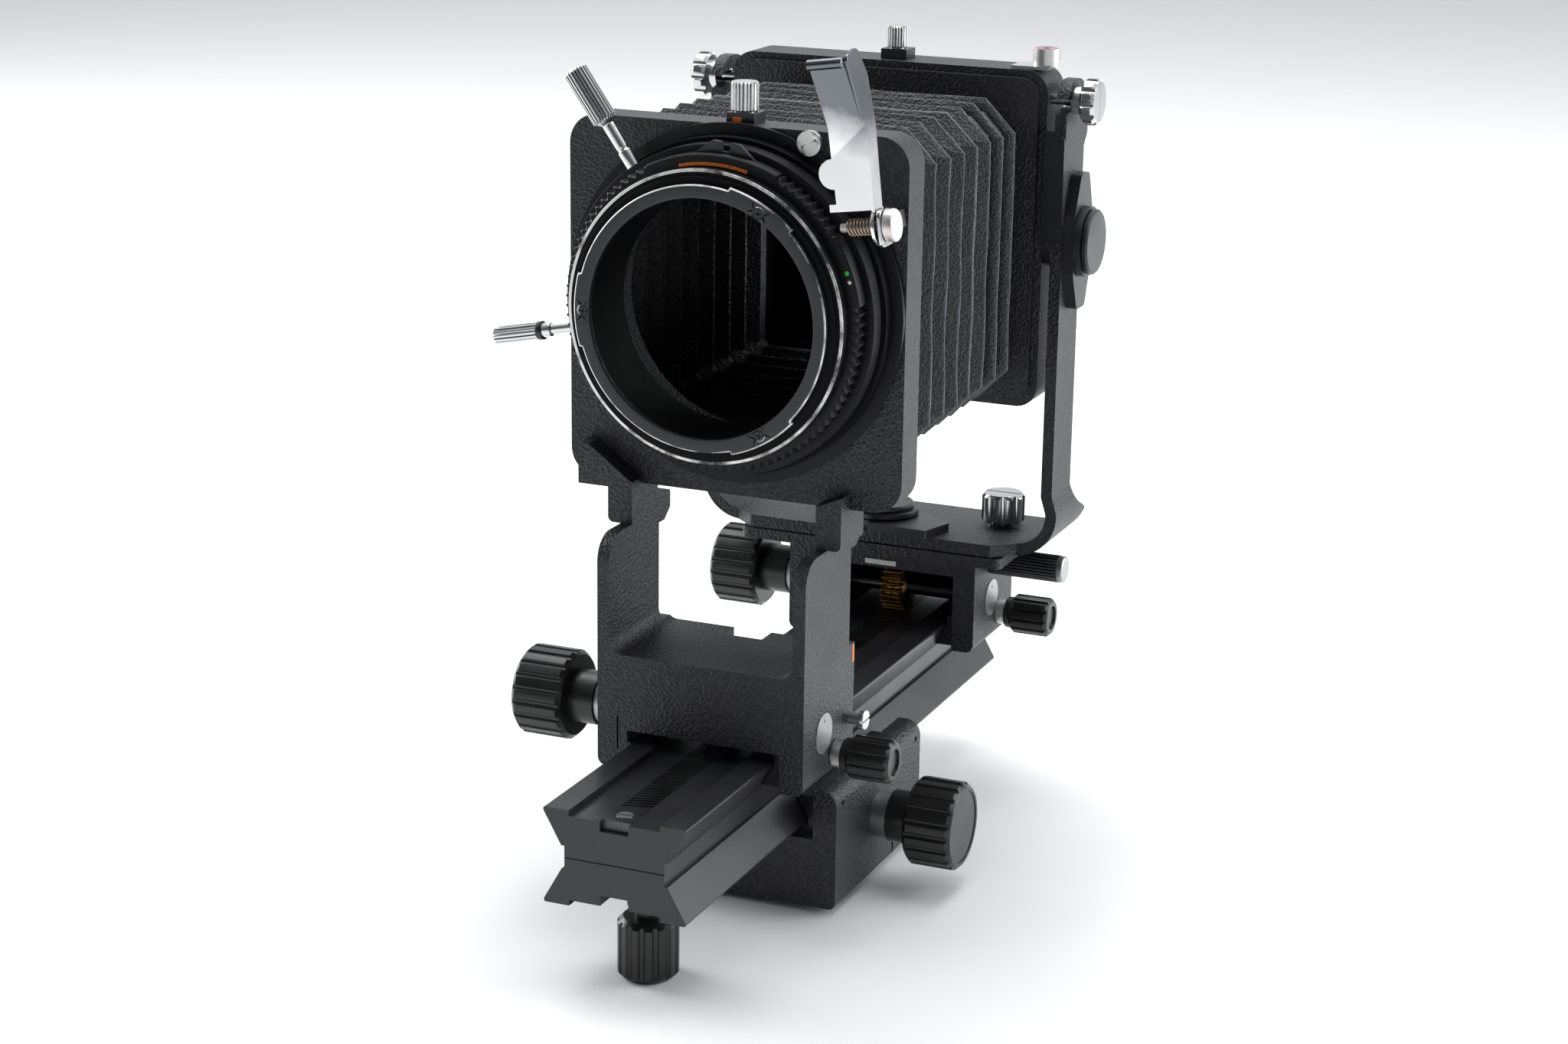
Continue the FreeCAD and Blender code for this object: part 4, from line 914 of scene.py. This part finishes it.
def half_disc(place, radius, gap, bottom, top, side):
    """One half of a slotted screw head: the slot lies along X."""
    steps = 16
    start = math.asin(gap / radius)
    angles = [start + (math.pi - 2 * start) * i / steps for i in range(steps + 1)]
    points = [place + radius * Vector((math.cos(angle), side * math.sin(angle), 0)) for angle in angles]
    count = len(points)
    verts = [p + Z * bottom for p in points] + [p + Z * top for p in points]
    faces = [list(range(count)), [count + i for i in reversed(range(count))]]
    faces += [[i, (i + 1) % count, count + (i + 1) % count, count + i] for i in range(count)]
    return verts, faces, []


def make_rack_screws():
    """Countersunk slotted heads, flush with the racks, on both rails."""
    front, rear = low("racks").y + SCREW_INSET, high("racks").y - SCREW_INSET
    top, bottom = high("racks").z, low("racks").z
    heads = []
    lower_front = front + LOWER_RACK_START
    for y, z, up in ((front, top, 1), (rear, top, 1), (lower_front, bottom, -1), (rear, bottom, -1)):
        place = Vector((0, y, z))
        for side in (1, -1):
            heads.append(half_disc(place, 2.75 * MM, 0.35 * MM, -0.8 * up * MM, 0.12 * up * MM, side))
        slot_floor = soften([(-0.9 * MM, 2.7 * MM), (-0.35 * MM, 2.7 * MM), (-0.35 * MM, 0)], 0.05 * MM)
        heads.append(lathe(slot_floor, place, Z * up, 48))
    piece("rack_screw_heads", joined(*heads), M["satin"], "rail", 30,
          replaces=("rack_screws",))


JOINTS = {joint["name"]: joint for joint in frame["record"]["behaviour"]["joints"]}
PRESS_JOINT = JOINTS["stop_lever_press"]
STOP_PIVOT = Vector(PRESS_JOINT["pos_m"])
STOP_AXIS = Vector(PRESS_JOINT["axis"])
PLATE_REACH = low("front_plate").y - STOP_PIVOT.y


def rounded_plate(outline, start, thickness, steps=6):
    """Plate across the stop lever's pin. outline is a list of (back, up, corner radius) from the pin."""
    up_axis = STOP_AXIS.cross(Y)
    ring = []
    for index, (back, up, radius) in enumerate(outline):
        here = Vector((back, up))
        before = (Vector(outline[index - 1][:2]) - here).normalized()
        after = (Vector(outline[(index + 1) % len(outline)][:2]) - here).normalized()
        shares = [step / steps for step in range(steps + 1)] if radius else [0]
        ring += [here + before * radius * (1 - t) ** 2 + after * radius * t ** 2 for t in shares]
    verts = []
    for along in (start, start + thickness):
        verts += [STOP_PIVOT + STOP_AXIS * along + Y * p.x + up_axis * p.y for p in ring]
    count = len(ring)
    faces = [list(range(count)), [count + k for k in reversed(range(count))]]
    faces += [[k, (k + 1) % count, count + (k + 1) % count, count + k] for k in range(count)]
    return verts, faces, []


def make_stop_pivot():
    """Pin with a domed head, a bright bracket round it and a dark neck to the front plate."""
    pin = soften([(-8.4 * MM, 0), (-8.4 * MM, 1.5 * MM), (7.2 * MM, 1.5 * MM), (7.2 * MM, 0)], 0.2 * MM)
    head = soften([(7.1 * MM, 0), (7.1 * MM, 5.2 * MM), (9.9 * MM, 5.3 * MM), (10.5 * MM, 4.7 * MM),
                   (10.55 * MM, 0)], 0.4 * MM)
    pin_and_head = joined(lathe(pin, STOP_PIVOT, STOP_AXIS, 32), lathe(head, STOP_PIVOT, STOP_AXIS, 72))
    piece("stop_pivot_pin", pin_and_head,
          M["pale"], "front", 30, replaces=("stop_pivot",))
    front, back, foot, top = -4.9 * MM, 4.9 * MM, -6.4 * MM, 5.3 * MM
    corner, half = 2.4 * MM, 3.0 * MM
    bracket = rounded_plate([(front, foot, corner), (back, foot, corner), (back, top, corner),
                             (front, top, corner)], 5.5 * MM, 1.4 * MM)
    inner = 4.0 * MM
    neck = rounded_plate([(inner, -half, 0), (PLATE_REACH, -half, 0), (PLATE_REACH, half, 0),
                          (inner, half, 0)],
                         5.6 * MM, 1.2 * MM)
    for name, sheet, look, slot in (("stop_bracket", bracket, "chrome", "chrome"),
                                    ("stop_bracket_neck", neck, "turned", "black_metal")):
        edge = piece(name, sheet, M[look], "front", 30).modifiers.new("edge", "BEVEL")
        edge.width = 0.3 * MM
        edge.segments = 2


def make_spring():
    """Coil spring round the stop-down lever's pin."""
    spring_low, spring_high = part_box("stop_spring")
    centre = (spring_low + spring_high) / 2
    up = STOP_AXIS.cross(Y)
    length = (spring_high.x - spring_low.x) - 1.0 * MM
    turns, wire, coil = 8.5, 0.42 * MM, 2.45 * MM
    steps, ring = int(turns * 28), 8
    verts, faces = [], []
    for i in range(steps + 1):
        t = i / steps
        angle = 2 * math.pi * turns * t
        out = Y * math.cos(angle) + up * math.sin(angle)
        place = centre + STOP_AXIS * (t - 0.5) * length + out * coil
        for k in range(ring):
            phi = 2 * math.pi * k / ring
            verts.append(place + out * wire * math.cos(phi) + STOP_AXIS * wire * math.sin(phi))
    for i in range(steps):
        for k in range(ring):
            j = (k + 1) % ring
            faces.append([i * ring + k, i * ring + j, (i + 1) * ring + j, (i + 1) * ring + k])
    faces += [list(range(ring)), [steps * ring + k for k in reversed(range(ring))]]
    piece("stop_spring_coil", (verts, faces, []), M["spring"], "front", 60,
          replaces=("stop_spring",))


def make_swing_rod():
    """Ribbed dark rod with a bright end."""
    start, end = low("swing_rod"), high("swing_rod")
    origin = Vector((0, middle("swing_rod").y, middle("swing_rod").z))
    grip_start, shank_end = start.x + 12.2 * MM, start.x + 13.2 * MM
    grip = knurled_head(grip_start, end.x - 2.0 * MM, 5.15 * MM, 26, 0.45 * MM, 0.4 * MM)
    piece("swing_rod_grip", lathe(origin=origin, axis=X, **grip), M["dark_metal"], "swing_rod", 30,
          replaces=("swing_rod",))
    cap_start = end.x - 2.3 * MM
    cap = soften([(cap_start, 0), (cap_start, 5.0 * MM), (end.x - 0.4 * MM, 5.0 * MM), (end.x, 4.4 * MM),
                  (end.x, 0)], 0.25 * MM)
    shank = soften([(start.x, 0), (start.x, 2.0 * MM), (shank_end, 2.0 * MM), (shank_end, 0)], 0.2 * MM)
    ends = joined(lathe(cap, origin, X, 64), lathe(shank, origin, X, 32))
    piece("swing_rod_ends", ends, M["disc"], "swing_rod")


def plate_piece(name, lowest, highest, material, body, corner):
    """Thin painted or inlaid bar with rounded corners, given by its box."""
    build = bmesh.new()
    bmesh.ops.create_cube(build, size=1)
    lowest, highest = Vector(lowest), Vector(highest)
    size = highest - lowest
    for vertex in build.verts:
        vertex.co = lowest + Vector((size[k] * (vertex.co[k] + 0.5) for k in range(3)))
    bmesh.ops.bevel(build, geom=build.edges[:], offset=corner, segments=2, affect="EDGES")
    verts = [v.co.copy() for v in build.verts]
    faces = [[v.index for v in f.verts] for f in build.faces]
    build.free()
    piece(name, (verts, faces, []), material, body)


def make_index_marks():
    """White bar on the rear carriage, orange marks on the front standard, and the seam between the rails."""
    carriage, top = low("rear_carriage"), high("rear_carriage").z
    plate_piece("index_bar", (-6.6 * MM, carriage.y - 0.25 * MM, top - 8.4 * MM),
                (5.9 * MM, carriage.y + 0.3 * MM, top - 6.5 * MM), M["white"], "rear",
                0.12 * MM)
    rail_top = high("upper_rail").z
    side = high("front_gib").x + 8.65 * MM
    front = low("front_standard").y
    plate_piece("standard_index", (side - 0.3 * MM, front + 42.2 * MM, rail_top + 24.8 * MM),
                (side + 0.06 * MM, front + 43.7 * MM, rail_top + 31.0 * MM), M["orange"], "front",
                0.05 * MM)
    block = low("panel_lock_block")
    plate_piece("panel_mark_upper", (-2.4 * MM, block.y - 0.15 * MM, block.z + 0.2 * MM),
                (0.9 * MM, block.y + 0.2 * MM, block.z + 2.2 * MM), M["orange"], "front",
                0.08 * MM)
    plate_y, plate_top = low("front_plate").y, high("front_plate").z
    plate_piece("panel_mark_lower", (-5.2 * MM, plate_y - 0.2 * MM, plate_top - 3.4 * MM),
                (-3.0 * MM, plate_y + 0.2 * MM, plate_top - 0.5 * MM), M["orange"], "front",
                0.08 * MM)
    seam, neck = low("upper_rail").z, 17.6 * MM
    for name, y in (("seam_front", low("upper_rail").y), ("seam_rear", high("upper_rail").y)):
        plate_piece(name, (-neck, y - 0.05 * MM, seam - 0.2 * MM), (neck, y + 0.05 * MM, seam + 0.2 * MM),
                    M["barrel"], "rail", 0.02 * MM)


def make_socket_ring():
    """Thin red ring round the cable socket's hole."""
    socket = high("sync_socket")
    ring = soften([(0, 3.45 * MM), (0, 3.8 * MM), (0.2 * MM, 3.8 * MM), (0.2 * MM, 3.45 * MM)], 0.05 * MM)
    centre = Vector((socket.x - 4.8 * MM, low("sync_socket").y + 6.0 * MM, socket.z - 0.08 * MM))
    piece("socket_ring", lathe(ring, centre, Z, 48, closed=True), M["red"], "rear_frame")


make_racks()
make_rack_screws()
make_stop_pivot()
make_spring()
make_swing_rod()
make_index_marks()
make_socket_ring()
